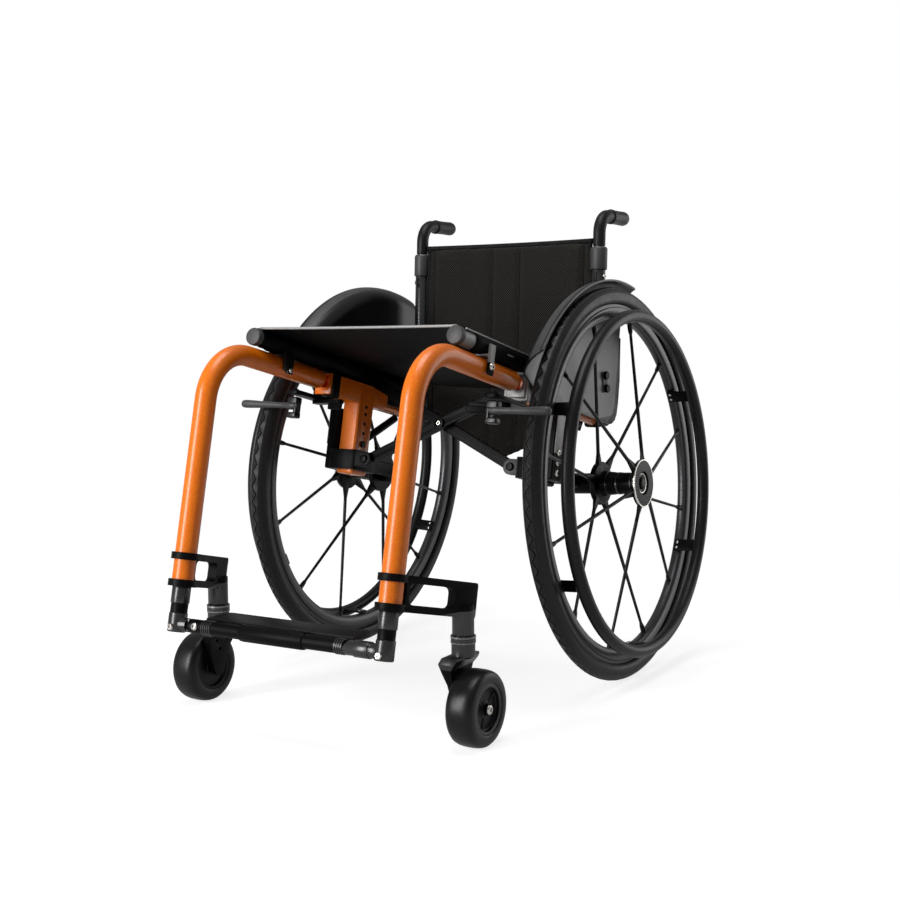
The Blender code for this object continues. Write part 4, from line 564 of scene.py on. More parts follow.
def bentTube(corners, bends, radius, sides=32, steps=16, roundEnds=(0, 0)):
    # a round bar through corners, each bent to its radius, with its ends rounded over
    corners = [Vector(c) for c in corners]
    bm = bmesh.new()
    heading = (corners[1] - corners[0]).normalized()
    first = bmesh.ops.create_circle(
        bm, segments=sides, radius=radius, matrix=facing(heading, corners[0])
    )["verts"]
    startRing = ringEdges(first)
    ring, here = startRing, corners[0]
    for corner, after, bend in zip(corners[1:], corners[2:], bends):
        out = (after - corner).normalized()
        angle = heading.angle(out)
        reach = bend * math.tan(angle / 2)
        ring = pushRing(bm, ring, corner - heading * reach - here)
        axis = heading.cross(out).normalized()
        centre = corner - heading * reach + axis.cross(heading) * bend
        last = bmesh.ops.spin(
            bm,
            geom=[*{v for e in ring for v in e.verts}, *ring],
            cent=centre,
            axis=axis,
            angle=angle,
            steps=steps,
        )["geom_last"]
        ring = [item for item in last if isinstance(item, bmesh.types.BMEdge)]
        here, heading = corner + out * reach, out
    ring = pushRing(bm, ring, corners[-1] - here)
    back = (corners[0] - corners[1]).normalized()
    for edges, way, rounding in ((startRing, back, roundEnds[0]), (ring, heading, roundEnds[1])):
        size = radius
        for i in range(1, 5 if rounding else 1):
            angle = math.pi / 2 * i / 4
            step = rounding * (math.sin(angle) - math.sin(angle - math.pi / 8))
            new = radius - rounding * (1 - math.cos(angle))
            edges = pushRing(bm, edges, way * step, new / size)
            size = new
        bmesh.ops.contextual_create(bm, geom=edges)
    bmesh.ops.recalc_face_normals(bm, faces=bm.faces)
    return bm


def rod(bm, start, end, radius, sides=24, endRadius=None):  # a capped bar added to a mesh
    start, end = Vector(start), Vector(end)
    return bmesh.ops.create_cone(
        bm,
        cap_ends=True,
        segments=sides,
        radius1=radius,
        radius2=radius if endRadius is None else endRadius,
        depth=(end - start).length,
        matrix=facing(end - start, (start + end) / 2),
    )["verts"]


def block(bm, size, place):  # a box of three lengths set at a matrix or a point
    if not isinstance(place, Matrix):
        place = Matrix.Translation(place)
    return bmesh.ops.create_cube(bm, size=1.0, matrix=place @ Matrix.Diagonal((*size, 1)))["verts"]


def easeEdges(bm, width, segments=2, angle=35):  # bevel the edges that turn more than an angle
    turned = math.radians(angle)
    bmesh.ops.bevel(
        bm,
        geom=[e for e in bm.edges if len(e.link_faces) == 2 and e.calc_face_angle(0) > turned],
        offset=width,
        offset_type="OFFSET",
        segments=segments,
        profile=0.5,
        affect="EDGES",
        clamp_overlap=True,
        material=-1,
    )


def addScrew(bm, place, way, radius, height=0.0022, sides=24):  # a button head with a socket
    socket = radius * 0.45
    profile = [
        (0, 0), (radius, 0), (radius, height * 0.35), (radius * 0.92, height * 0.75),
        (radius * 0.72, height), (socket, height), (socket * 0.96, height * 0.3),
        (0, height * 0.3),
    ]
    addSpun(bm, profile, sides, facing(way, place))


def cadCopy(node):  # a merged copy of a CAD node, to ease its edges
    bm = bmesh.new()
    bm.from_mesh(frame["nodes"][node].data)
    bmesh.ops.remove_doubles(bm, verts=bm.verts, dist=sameSpot)
    bmesh.ops.dissolve_limit(bm, angle_limit=math.radians(1.0), verts=bm.verts, edges=bm.edges)
    return bm


tyre = {
    "radius": 0.300,
    "crown": 50.0,  # how fast the tread falls away from its top
    "zigzags": 80,
    "stepsEach": 4,
    "swing": 0.0038,
    "grooveDepth": 0.0015,
}
rim = {"face": 0.2515, "bead": 0.2743, "halfWidth": 0.0100}
handrim = {
    "radius": 0.254,
    "tube": 0.0095,
    "offset": 0.038,
    "tabs": 6,
    "tabPhase": 30.0,
    "tabWidth": 0.020,
    "tabTop": 0.25013,
    "tabThick": 0.003,
    "tabMiddle": 0.01575,
    "tabLength": 0.0375,
}
spokes = {
    "count": 12,
    "phase": 15.0,
    "atHub": 0.0029,
    "atRim": 0.0023,
    "foot": 0.024,
    "outer": 0.0375,
    "inner": -0.0315,
    "neck": (0.93, 0.955),  # where each spoke widens to its nipple, as shares of its run
    "nipple": (0.0036, 0.0042),
    "root": 0.036,
    "rootWide": 0.0120,
    "rootNarrow": 0.0030,
    "rootFlat": (0.22, 0.36),  # how flat the roots are, on the outer flange and on the inner one
}
wheel = {"x": 0.237, "z": 0.29983, "lean": math.radians(3), "steps": 192}


def wheelPlace(sign):  # Z runs out along the axle, leaning with the camber
    lean = wheel["lean"]
    up = (-sign * math.sin(lean), 0, math.cos(lean))
    return turnedTo((0, sign, 0), up, (sign * wheel["x"], axleShift, wheel["z"]))


def makeTyre():
    # rows of (height off the middle, radius or None on the crown, depth, share of the zigzag)
    wall = [
        (0.0094, 0.27505, 0, 0), (0.0110, 0.2760, 0, 0), (0.0124, 0.2782, 0, 0),
        (0.0132, 0.2812, 0, 0), (0.0135, 0.2845, 0, 0), (0.0132, 0.2880, 0, 0),
        (0.0123, 0.2912, 0, 0), (0.0118, 0.2916, 0, 0), (0.0114, 0.2926, 0, 0),
    ]
    tread = [
        (0.0092, None, 0.0, 0), (0.0071, None, 0.0, 0), (0.0068, None, 0.0006, 0),
        (0.0061, None, 0.0006, 0), (0.0058, None, 0.0, 0), (0.0012, None, 0.0, 1.0),
        (0.0007, None, tyre["grooveDepth"], 1.0),
    ]
    rows = wall + tread + [(-h, r, d, z) for h, r, d, z in reversed(tread)]
    rows += [(-h, r, d, z) for h, r, d, z in reversed(wall)]

    def across(h, depth):
        return tyre["radius"] - tyre["crown"] * h * h - depth

    profile = [(r if r else across(h, d), h) for h, r, d, z in rows]
    bm = spun(profile, tyre["zigzags"] * tyre["stepsEach"], closed=True)
    swings = {round(h, 5): (d, z) for h, r, d, z in rows if z}
    period = math.tau / tyre["zigzags"]
    for v in bm.verts:
        found = swings.get(round(v.co.z, 5))
        if not found:
            continue
        depth, share = found
        angle = math.atan2(v.co.y, v.co.x) / period
        wave = abs((angle % 1.0) * 2 - 1) * 2 - 1
        h = v.co.z + tyre["swing"] * share * wave
        scale = across(h, depth) / v.co.xy.length
        v.co = Vector((v.co.x * scale, v.co.y * scale, h))
    return bm


def makeRim():
    # a recess under the tyre's bead, then one broad curve round to the face that the spokes meet
    half = [
        (rim["bead"], 0.0068), (0.2738, 0.0073), (0.2702, 0.0075), (0.2692, 0.0081),
        (0.2686, 0.0096), (0.2678, rim["halfWidth"]), (0.2655, rim["halfWidth"]),
        (0.2622, 0.0098), (0.2588, 0.0092), (0.2560, 0.0082), (0.2537, 0.0066),
        (0.2523, 0.0048), (0.2517, 0.0028), (rim["face"], 0.0),
    ]
    return spun(mirrored(half), wheel["steps"], closed=True)


def makeHandrim():
    ring = [
        (handrim["radius"] + a, handrim["offset"] + b)
        for a, b in arcPoints((0, 0), handrim["tube"], 0, 345, 23)
    ]
    return spun(ring, wheel["steps"], closed=True)


def tabTurn(i):
    angle = math.radians(handrim["tabPhase"] + 360 * i / handrim["tabs"])
    return Matrix.Rotation(angle, 4, "Z")


def makeTabs():  # plates that carry the handrim from the rim's inner face
    bm = bmesh.new()
    thick = handrim["tabThick"]
    for i in range(handrim["tabs"]):
        middle = (handrim["tabTop"] - thick / 2, 0, handrim["tabMiddle"])
        size = (thick, handrim["tabWidth"], handrim["tabLength"])
        block(bm, size, tabTurn(i) @ Matrix.Translation(middle))
    easeEdges(bm, 0.0009)
    return bm


def makeTabScrews():
    bm = bmesh.new()
    for i in range(handrim["tabs"]):
        for across in (-0.0045, 0.0045):
            spot = tabTurn(i) @ Vector((handrim["tabTop"] - 0.0029, across, 0.0022))
            addScrew(bm, spot, tabTurn(i) @ Vector((-1, 0, 0)), 0.0024, 0.0013, 16)
    return bm


def makeHub():
    barrel = [
        (0.0093, 0.0290), (0.0093, 0.0362), (0.0097, 0.0367), (0.0163, 0.0367),
        (0.0171, 0.0371), (0.0178, 0.0396), (0.0186, 0.0402), (0.0325, 0.0404),
        (0.0352, 0.0402), (0.0362, 0.0394), (0.0362, 0.0352), (0.0345, 0.0343),
        (0.0225, 0.0341), (0.0192, 0.0326), (0.0172, 0.0290), (0.0165, 0.0235),
        (0.0165, 0.0060), (0.0169, 0.0050), (0.0169, -0.0055), (0.0174, -0.0065),
        (0.0184, -0.0190), (0.0196, -0.0250), (0.0225, -0.0268), (0.0322, -0.0271),
        (0.0335, -0.0282), (0.0335, -0.0348), (0.0325, -0.0360), (0.0170, -0.0360),
        (0.0060, -0.0360), (0.0060, -0.0840), (0.0050, -0.0860), (0.0, -0.0865),
    ]
    return spun([(0, 0.0290), *barrel], 72)


def makeHubRingsAndHighlights():  # bright rings on the hub: the ring on the cap's edge and the bands on the barrel are painted highlights on its turned edges, and an inner ring sits on the cap
    bm = bmesh.new()
    still = Matrix.Identity(4)
    edge = [
        (0.0346, 0.0398), (0.0348, 0.0407), (0.0361, 0.0407), (0.0366, 0.0400),
        (0.0366, 0.0386), (0.0346, 0.0386),
    ]
    addSpun(bm, edge, 72, still, closed=True)
    ring = [(0.0136, 0.0366), (0.0138, 0.0375), (0.0150, 0.0377), (0.0154, 0.0374), (0.0155, 0.0366)]
    addSpun(bm, ring, 64, still)
    for low, high, out in (
        (0.0225, 0.0250, 0.0172),
        (-0.0012, 0.0022, 0.0172),
        (-0.0172, -0.0156, 0.0186),
    ):
        band = [(out - 0.001, low), (out, low + 0.0004), (out, high - 0.0004), (out - 0.001, high)]
        addSpun(bm, band, 64, still)
    for face in bm.faces:  # the barrel's painted highlight bands are duller than the rings of the cap
        face.material_index = 1 if face.calc_center_median().z < 0.030 else 0
    return bm


def spokeLine(i, sign):
    angle = math.radians(spokes["phase"] + 360 * i / spokes["count"])
    out = Vector((math.cos(angle), math.sin(angle), 0))
    height = spokes["outer"] if (i % 2 == 0) == (sign > 0) else spokes["inner"]
    return out * spokes["foot"] + Vector((0, 0, height)), out * (rim["face"] - 0.0002)


def makeSpokes(sign):
    bm = bmesh.new()
    thin, (start, finish), (narrow, wide) = spokes["atRim"], spokes["neck"], spokes["nipple"]
    for i in range(spokes["count"]):
        foot, end = spokeLine(i, sign)
        run = end - foot
        rod(bm, foot, foot + run * (start + 0.01), spokes["atHub"], 12, thin)
        rod(bm, foot + run * start, foot + run * finish, thin, 12, narrow)
        rod(bm, foot + run * finish, end, narrow, 12, wide)
    return bm


def makeSpokeRoots(sign):  # flared roots that make a star of each flange
    bm = bmesh.new()
    for i in range(spokes["count"]):
        foot, end = spokeLine(i, sign)
        way = (end - foot).normalized()
        flat = spokes["rootFlat"][0 if foot.z > 0 else 1]
        bmesh.ops.create_cone(
            bm,
            cap_ends=True,
            segments=20,
            radius1=spokes["rootWide"],
            radius2=spokes["rootNarrow"],
            depth=spokes["root"],
            matrix=facing(way, foot + way * (spokes["root"] / 2)) @ Matrix.Diagonal((1, flat, 1, 1)),
        )
    return bm


def makeRearWheel(side, sign):
    place = wheelPlace(sign)
    for name, bm, finish, node, angle in (
        ("tyreTread", makeTyre(), "tyreRubber", "tyre", 30),
        ("rimSection", makeRim(), "satinRim", "rim", 30),
        ("handrimTube", makeHandrim(), "handrimBlack", "handrim", 60),
        ("handrimTabs", makeTabs(), "anodisedBlack", "handrim", 40),
        ("tabScrews", makeTabScrews(), "stainlessSteel", "handrim", 40),
        ("hubBarrel", makeHub(), "turnedBlack", "hub", 35),
        ("hubRingsAndHighlights", makeHubRingsAndHighlights(), ["stainlessSteel", "satinRim"], "hub", 35),
        ("spokes", makeSpokes(sign), "coatedSpoke", "hub", 40),
        ("spokeRoots", makeSpokeRoots(sign), "turnedBlack", "hub", 40),
    ):
        finishPiece(f"{side}_{name}", bm, finish, f"{side}_{node}", angle, place)


caster = {"x": 0.230, "y": -0.428 + axleShift, "radius": 0.0505, "steps": 96, "webs": (40, 145, 250)}
fork = {"stemX": 0.207, "stemY": -0.421 + axleShift, "stemEnd": 0.142, "crown": 0.1010, "boltX": 0.2488}


def makeCaster(side, sign):
    place = turnedTo((0, sign, 0), (0, 0, 1), (sign * caster["x"], caster["y"], caster["radius"]))
    half = [
        (0.0334, 0.0192), (0.0346, 0.0199), (0.0385, 0.0200), (0.0430, 0.0196),
        (0.0462, 0.0184), (0.0484, 0.0160), (0.0496, 0.0125), (0.0503, 0.0075),
        (caster["radius"], 0.0),
    ]
    tread = spun(mirrored(half), caster["steps"], True)
    finishPiece(f"{side}_casterTread", tread, "castUrethane", f"{side}_caster_tyre", 40, place)
    core = [
        (0.0050, 0.0150), (0.0078, 0.0150), (0.0086, 0.0142), (0.0112, 0.0138),
        (0.0122, 0.0128), (0.0262, 0.0124), (0.0280, 0.0140), (0.0287, 0.0178),
        (0.0330, 0.0178), (0.0330, -0.0186), (0.0290, -0.0186), (0.0275, -0.0170),
        (0.0262, -0.0150), (0.0120, -0.0150), (0.0110, -0.0165), (0.0050, -0.0165),
    ]
    node = f"{side}_caster_hub"
    bm = spun(core, caster["steps"], True)
    face = Vector((0, 0, 0.0125))
    for turn in caster["webs"]:  # three shallow webs on the face
        angle = math.radians(turn)
        out = Vector((math.cos(angle), math.sin(angle), 0))
        rod(bm, out * 0.0115 + face, out * 0.0275 + face, 0.0016, 12)
    finishPiece(f"{side}_casterCore", bm, "mouldedNylon", node, 35, place)
    # a grey lip ring round the recess in the face: a painted highlight standing in for the light along its
    # edge
    ring = [
        (0.0284, 0.0176), (0.0288, 0.0185), (0.0298, 0.0189), (0.0322, 0.0189),
        (0.0331, 0.0184), (0.0331, 0.0176),
    ]
    finishPiece(f"{side}_casterLipHighlight", spun(ring, caster["steps"], True), "castGrey", node, 40, place)


def makeFork(side, sign):
    node = f"{side}_caster_fork"
    # above this height the fork is grey metal: the crown is grey, and the cut is set low enough to take in
    # the shoulder, whose grey is a painted highlight
    crown = [((0, 0, fork["crown"]), (0, 0, 1), 1)]
    makeFrameNode(node, ["anodisedBlack", "anodisedGrey"], 0.0016, 3, crown)
    # two thin silver lips round the crown, at its top and lower down: painted highlights along its edges
    top = fork["stemEnd"] - 0.0010
    upper = [
        (0.0150, top), (0.0163, top), (0.0168, top - 0.0006), (0.0168, top - 0.0020),
        (0.0162, top - 0.0024),
    ]
    lower = [(0.0162, 0.1335), (0.0167, 0.1330), (0.0167, 0.1322), (0.0162, 0.1317)]
    highlightLips = bmesh.new()
    middle = Matrix.Translation((sign * fork["stemX"], fork["stemY"], 0))
    addSpun(highlightLips, upper, 48, middle)
    addSpun(highlightLips, lower, 48, middle)
    finishPiece(f"{side}_crownLipHighlight", highlightLips, "blastedSilver", node, 40)
    bolt = bmesh.new()
    addScrew(bolt, (sign * fork["boltX"], caster["y"], caster["radius"]), (sign, 0, 0), 0.0066, 0.0030, 32)
    finishPiece(f"{side}_casterBolt", bolt, "stainlessSteel", node, 40)


mainTube = {"x": 0.170, "radius": 0.015, "bend": 0.0755, "leg": 0.3335, "end": 0.255, "nose": 0.0115}


def makeFrontTube(side, sign):
    x = sign * mainTube["x"]
    corners = [
        seatPoint(x, 0, -mainTube["leg"]),
        seatPoint(x, 0, 0),
        seatPoint(x, mainTube["end"] - mainTube["nose"], 0),
    ]
    bm = bentTube(corners, [mainTube["bend"]], mainTube["radius"], 48, 28, (0, mainTube["nose"]))
    finishPiece(f"{side}_frontTube", bm, "powderCoatOrange", f"{side}_front_tube", 50)


def paintBeyond(bm, point, way, index):  # cut along a plane and give one side another finish
    way = Vector(way)
    geom = [*bm.verts, *bm.edges, *bm.faces]
    bmesh.ops.bisect_plane(bm, geom=geom, dist=0.00001, plane_co=point, plane_no=way)
    for face in bm.faces:
        if (face.calc_center_median() - Vector(point)).dot(way) > 0:
            face.material_index = index


def makeFrameNode(node, finish, width, segments=2, cuts=()):
    # the CAD shape with eased edges, its zones painted by cutting planes
    bm = cadCopy(node)
    easeEdges(bm, width, segments, 32)
    for point, way, index in cuts:
        paintBeyond(bm, point, way, index)
    return finishPiece(f"{node}_eased", bm, finish, node, 35)


bracket = {"barrelTop": 0.1745, "barrelFront": -0.335}  # the barrel is grey below and behind these


def makeBracket(side):
    barrel = [
        ((0, 0, bracket["barrelTop"]), (0, 0, -1), 1),
        ((0, bracket["barrelFront"], 0), (0, -1, 0), 0),
    ]
    makeFrameNode(f"{side}_caster_bracket", ["anodisedBlack", "anodisedGrey"], 0.0010, 2, barrel)


legSleeve = {"band": 0.3575, "bandEnd": 0.3705, "boltH": -0.3900, "radius": 0.0128}


def makeLegSleeve(side, sign):
    node = f"{side}_leg_sleeve"
    down = -upward
    cuts = [
        (seatPoint(0, 0, -legSleeve["band"]), down, 1),
        (seatPoint(0, 0, -legSleeve["bandEnd"]), down, 0),
    ]
    makeFrameNode(node, ["anodisedGrey", "anodisedBlack"], 0.0012, 2, cuts)
    bm = bmesh.new()
    spot = seatPoint(sign * mainTube["x"], -legSleeve["radius"] + 0.0004, legSleeve["boltH"])
    addScrew(bm, spot, -backward, 0.0052, 0.0030, 6)
    finishPiece(f"{side}_sleeveBolt", bm, "stainlessSteel", node, 30)


footBar = {
    "h": -0.3855,
    "radius": 0.0095,
    "from": -0.1450,
    "to": 0.1120,
    "grip": (-0.0560, 0.0480),
    "gripRadius": 0.0112,
    "collars": ((-0.1205, 5), (0.0985, 4)),  # where each ribbed locking collar starts, and its ribs
    "ribPitch": 0.0034,
    "ribRadius": 0.0104,
    "ribRoot": 0.0093,
    "ridges": 14,
    "boltX": -0.1310,
}


def makeFootBar():
    place = facing(sideways, seatPoint(0, 0, footBar["h"]))
    low, high = footBar["grip"]
    size, wide = footBar["radius"], footBar["gripRadius"]
    profile = [
        (0, footBar["from"]), (size * 0.90, footBar["from"]), (size, footBar["from"] + 0.001),
        (size, low - 0.0012), (wide * 0.96, low), (wide, low + 0.0010), (wide, high - 0.0010),
        (wide * 0.96, high), (size, high + 0.0012), (size, footBar["to"] - 0.001),
        (size * 0.90, footBar["to"]), (0, footBar["to"]),
    ]
    node = "footrest_bar"
    finishPiece("footBarTube", spun(profile, 40), "anodisedBlack", node, 40, place)
    rings = bmesh.new()
    root, crest = footBar["ribRoot"], footBar["ribRadius"]
    for start, count in footBar["collars"]:
        for i in range(count):
            x = start + footBar["ribPitch"] * i
            rib = [(root, x), (crest, x + 0.0004), (crest, x + 0.0024), (root, x + 0.0028)]
            addSpun(rings, rib, 40, place)
    finishPiece("footBarRibs", rings, "anodisedGrey", node, 40)
    lines = bmesh.new()
    for i in range(footBar["ridges"]):  # fine lengthwise knurling of the middle sleeve
        angle = math.tau * i / footBar["ridges"]
        out = Vector((math.cos(angle), math.sin(angle), 0)) * (wide + 0.00005)
        start, end = out + Vector((0, 0, low + 0.003)), out + Vector((0, 0, high - 0.003))
        rod(lines, place @ start, place @ end, 0.00035, 6)
    finishPiece("footBarKnurl", lines, "turnedBlack", node, 60)
    bolt = bmesh.new()
    for way in (-1, 1):
        spot = seatPoint(footBar["boltX"], way * (size - 0.0002), footBar["h"])
        addScrew(bolt, spot, backward * way, 0.0052, 0.0026)
    finishPiece("footBarBolt", bolt, "stainlessSteel", node, 40)


guard = {
    "x": 0.1935,
    "lip": 0.226,
    "roll": 0.028,
    "radius": 0.3115,
    "inner": 0.088,
    "thick": 0.0028,
    "front": 143.0,
    "trim": -0.015,
    "band": 0.013,
    "split": 0.246,
    "edge": [
        (0.109, 0.340), (0.094, 0.246), (0.090, 0.155), (0.084, 0.119), (0.0785, 0.101),
        (0.0715, 0.092), (0.060, 0.087), (0.042, 0.0865),
    ],
    # the lip's two clipped corners: height and place behind the hub, and the way that is cut off
    "corners": ((0.082, 0.30, (0.62, 0.78, 0)), (-0.225, 0.20, (0.62, -0.55, -0.55))),
    "lugRadius": 0.0060,
    "lugX": (0.1853, 0.1945),
    "lugPlaces": ((0.325, -0.003), (0.397, -0.003)),
    "backLug": (0.1778, 0.520),
    "plate": (0.1972, 0.497, 0.046),
    "knobX": 0.1978,
    "knobs": ((0.501, 0.0365), (0.4935, 0.0560)),
}


def cutAway(bm, point, way, only=None):  # drop what lies beyond a plane and close the cut
    geom = [*bm.verts, *bm.edges, *bm.faces]
    if only:
        faces = [f for f in bm.faces if only(f.calc_center_median())]
        geom = list({v for f in faces for v in f.verts} | {e for f in faces for e in f.edges}) + faces
    bmesh.ops.bisect_plane(bm, geom=geom, dist=0.00001, plane_co=point, plane_no=way, clear_outer=True)
    bmesh.ops.edgeloop_fill(bm, edges=[e for e in bm.edges if e.is_boundary])


def guardSection():  # the panel and its rolled lip, turned all the way round the axle's height
    radius, roll, thick = guard["radius"], guard["roll"], guard["thick"]
    reach = guard["lip"] - guard["x"]
    flat = [guard["inner"], 0.120, 0.160, 0.200, 0.240, radius - roll]
    turns = [math.radians(90 * i / 10) for i in range(1, 11)]
    inside = [(r, 0) for r in flat]
    inside += [(radius - roll + roll * math.sin(t), reach * (1 - math.cos(t))) for t in turns]
    outside = [(r, thick) for r in flat]
    outside += [
        (radius - roll + (roll - thick) * math.sin(t), thick + (reach - thick) * (1 - math.cos(t)))
        for t in turns
    ]
    return spun(inside + outside[::-1], 168, closed=True)


def guardEdges(hub):  # the rear outline's stretches: a start, and the way that is beyond it
    edge = [hub + Vector((0, y, z)) for y, z in guard["edge"]]
    ways = [(low - high).normalized() for high, low in zip(edge, edge[1:])]
    return [(high, Vector((0, -way.z, way.y))) for high, way in zip(edge, ways)]


def trimGuard(bm, hub, sign):
    cutAway(bm, seatPoint(0, 0, guard["trim"]), -upward)
    angle = math.radians(guard["front"])
    cutAway(bm, hub, (0, -math.sin(angle), math.cos(angle)))
    split = tyre["radius"] + guard["split"]
    geom = [*bm.verts, *bm.edges, *bm.faces]
    bmesh.ops.bisect_plane(bm, geom=geom, dist=0.00001, plane_co=(0, 0, split), plane_no=(0, 0, 1))
    (point, beyond), *lower = guardEdges(hub)
    cutAway(bm, point, beyond, lambda c: c.z > split)
    for point, beyond in lower:
        cutAway(bm, point, beyond, lambda c: c.z < split)
    for y, z, way in guard["corners"]:
        corner = Vector((sign * guard["lip"], hub.y + y, hub.z + z))
        cutAway(bm, corner, (sign * way[0], way[1], way[2]))


def paintGuard(bm, hub, sign):  # black inside and at the edge, mid grey towards the wheel, and a painted highlight in grey along the roll's crest
    for point, beyond in guardEdges(hub)[2:]:
        paintBeyond(bm, point - beyond * guard["band"], beyond, 1)
    bm.normal_update()
    radius, roll, reach = guard["radius"], guard["roll"], guard["lip"] - guard["x"]
    for face in bm.faces:
        middle = face.calc_center_median()
        away = (middle.yz - hub.yz).length
        out = (middle.x * sign - guard["x"]) / reach
        # the crest of the roll, away from its two ends, is painted grey (index 2): a painted highlight
        # where the top light catches it
        if face.normal.x * sign < 0.2 or away > radius - roll * 0.42:
            face.material_index = 2 if away > radius - roll * 0.2 and 0.22 < out < 0.86 else 1


def makeGuard(side, sign):
    node = f"{side}_side_guard"
    hub = Vector((sign * guard["x"], axleShift, tyre["radius"]))
    bm = guardSection()
    bmesh.ops.transform(bm, matrix=turnedTo((0, sign, 0), (0, 0, 1), hub), verts=bm.verts)
    trimGuard(bm, hub, sign)
    paintGuard(bm, hub, sign)
    easeEdges(bm, 0.0006, 2, 60)
    finishPiece(f"{side}_guardShell", bm, ["guardOuterGrey", "guardBlack", "castGrey"], node, 35)
    lugs = bmesh.new()
    inner, outer = guard["lugX"]
    for s, h in guard["lugPlaces"]:
        start, end = seatPoint(sign * inner, s, h), seatPoint(sign * outer, s, h)
        rod(lugs, start, end, guard["lugRadius"], 20)
    x, z = guard["backLug"]
    start, end = (sign * x, backMiddle(z), z), (sign * outer, backMiddle(z), z)
    rod(lugs, start, end, guard["lugRadius"], 20)
    x, s, h = guard["plate"]
    plate = Matrix.Translation(seatPoint(sign * x, s, h))
    block(lugs, (0.0018, 0.016, 0.030), plate @ Matrix.Rotation(seatSlope, 4, "X"))
    easeEdges(lugs, 0.0006)
    finishPiece(f"{side}_guardLugs", lugs, "castGrey", node, 40)
    knobs = bmesh.new()
    knob = [(0, 0), (0.0062, 0), (0.0066, 0.0008), (0.0066, 0.0040), (0.0058, 0.0050), (0, 0.0052)]
    for s, h in guard["knobs"]:
        addSpun(knobs, knob, 20, facing((sign, 0, 0), seatPoint(sign * guard["knobX"], s, h)))
    finishPiece(f"{side}_guardKnobs", knobs, "turnedBlack", node, 40)


cane = {
    "x": 0.1665,
    "y": 0.0745,  # behind the axle, at the top
    "top": 0.648,
    "bottom": 0.388,
    "radius": 0.0110,
    "bore": 0.0087,
    "lean": math.radians(3),
    "foot": (0.026, 0.046, 0.050),
    "footY": 0.068,
    "footZ": 0.406,
    "boltYs": (0.052, 0.084),
    "boltZ": 0.398,
    "boltOut": 0.0128,
}
handle = {
    "top": 0.7175,
    "tube": 0.0082,
    "bend": 0.030,
    "end": 0.1700,
    "inCane": 0.070,
    "grip": 0.0114,
    "sleeve": 0.0099,
    "sleeveStart": 0.0215,
    "sleeveEnd": 0.1170,
}


def backMiddle(z):  # how far back the canes' line is at a height
    return cane["y"] + axleShift + (z - cane["top"]) * math.tan(cane["lean"])


def caneTop(sign):
    return Vector((sign * cane["x"], backMiddle(cane["top"]), cane["top"]))


def makeCane(side, sign):
    node, lean = f"{side}_back_cane", cane["lean"]
    length = (cane["top"] - cane["bottom"]) / math.cos(lean)
    radius, bore = cane["radius"], cane["bore"]
    profile = [
        (0, -length), (radius, -length), (radius, -0.0006), (radius - 0.0004, 0.0),
        (bore, 0.0), (bore, -0.010), (0, -0.010),
    ]
    place = turnedTo((1, 0, 0), Vector((0, math.cos(lean), -math.sin(lean))), caneTop(sign))
    finishPiece(f"{side}_caneTube", spun(profile, 40), "anodisedGrey", node, 40, place)
    foot = bmesh.new()
    block(foot, cane["foot"], (sign * cane["x"], cane["footY"] + axleShift, cane["footZ"]))
    easeEdges(foot, 0.005, 3)
    finishPiece(f"{side}_caneFoot", foot, "anodisedBlack", node, 40)
    bolts = bmesh.new()
    for y in cane["boltYs"]:
        for way in (1, -1):  # one on each face of the foot
            spot = (sign * (cane["x"] + way * cane["boltOut"]), y + axleShift, cane["boltZ"])
            addScrew(bolts, spot, (sign * way, 0, 0), 0.0042)
    finishPiece(f"{side}_caneBolts", bolts, "turnedBlack", node, 40)


def makeHandle(side, sign):
    node, lean = f"{side}_push_handle", cane["lean"]
    up = Vector((0, math.sin(lean), math.cos(lean)))
    top = caneTop(sign)
    corner = top + up * ((handle["top"] - cane["top"]) / math.cos(lean))
    end = Vector((sign * cane["x"], handle["end"] + axleShift, handle["top"]))
    corners = [top - up * handle["inCane"], corner, end]
    bm = bentTube(corners, [handle["bend"]], handle["tube"], 36, 18, (0.001, 0.001))
    finishPiece(f"{side}_handleTube", bm, "anodisedGrey", node, 50)
    sleeveEnd = Vector((end.x, handle["sleeveEnd"] + axleShift, end.z))
    corners = [top + up * handle["sleeveStart"], corner, sleeveEnd]
    bm = bentTube(corners, [handle["bend"]], handle["sleeve"], 36, 18, (0.0012, 0.0004))
    finishPiece(f"{side}_handleSleeve", bm, "dippedRubber", node, 50)
    size = handle["grip"]
    grip = [
        (0, 0.1735), (0.0050, 0.1733), (0.0078, 0.1724), (0.0098, 0.1708), (0.0110, 0.1684),
        (size + 0.0002, 0.1650), (size, 0.1560), (size - 0.0003, 0.1400), (size, 0.1240),
        (0.0119, 0.1196), (0.0120, 0.1176), (0.0114, 0.1154), (0.0099, 0.1146),
        (0.0085, 0.1150), (0.0085, 0.1700), (0, 0.1700),
    ]
    hold = turnedTo((1, 0, 0), (0, 0, -1), (sign * cane["x"], axleShift, handle["top"]))
    finishPiece(f"{side}_gripSleeve", spun(grip, 44), "dippedRubber", f"{side}_handle_grip", 35, hold)


collar = {"slotZ": (0.6105, 0.6270), "screwZ": 0.6202}


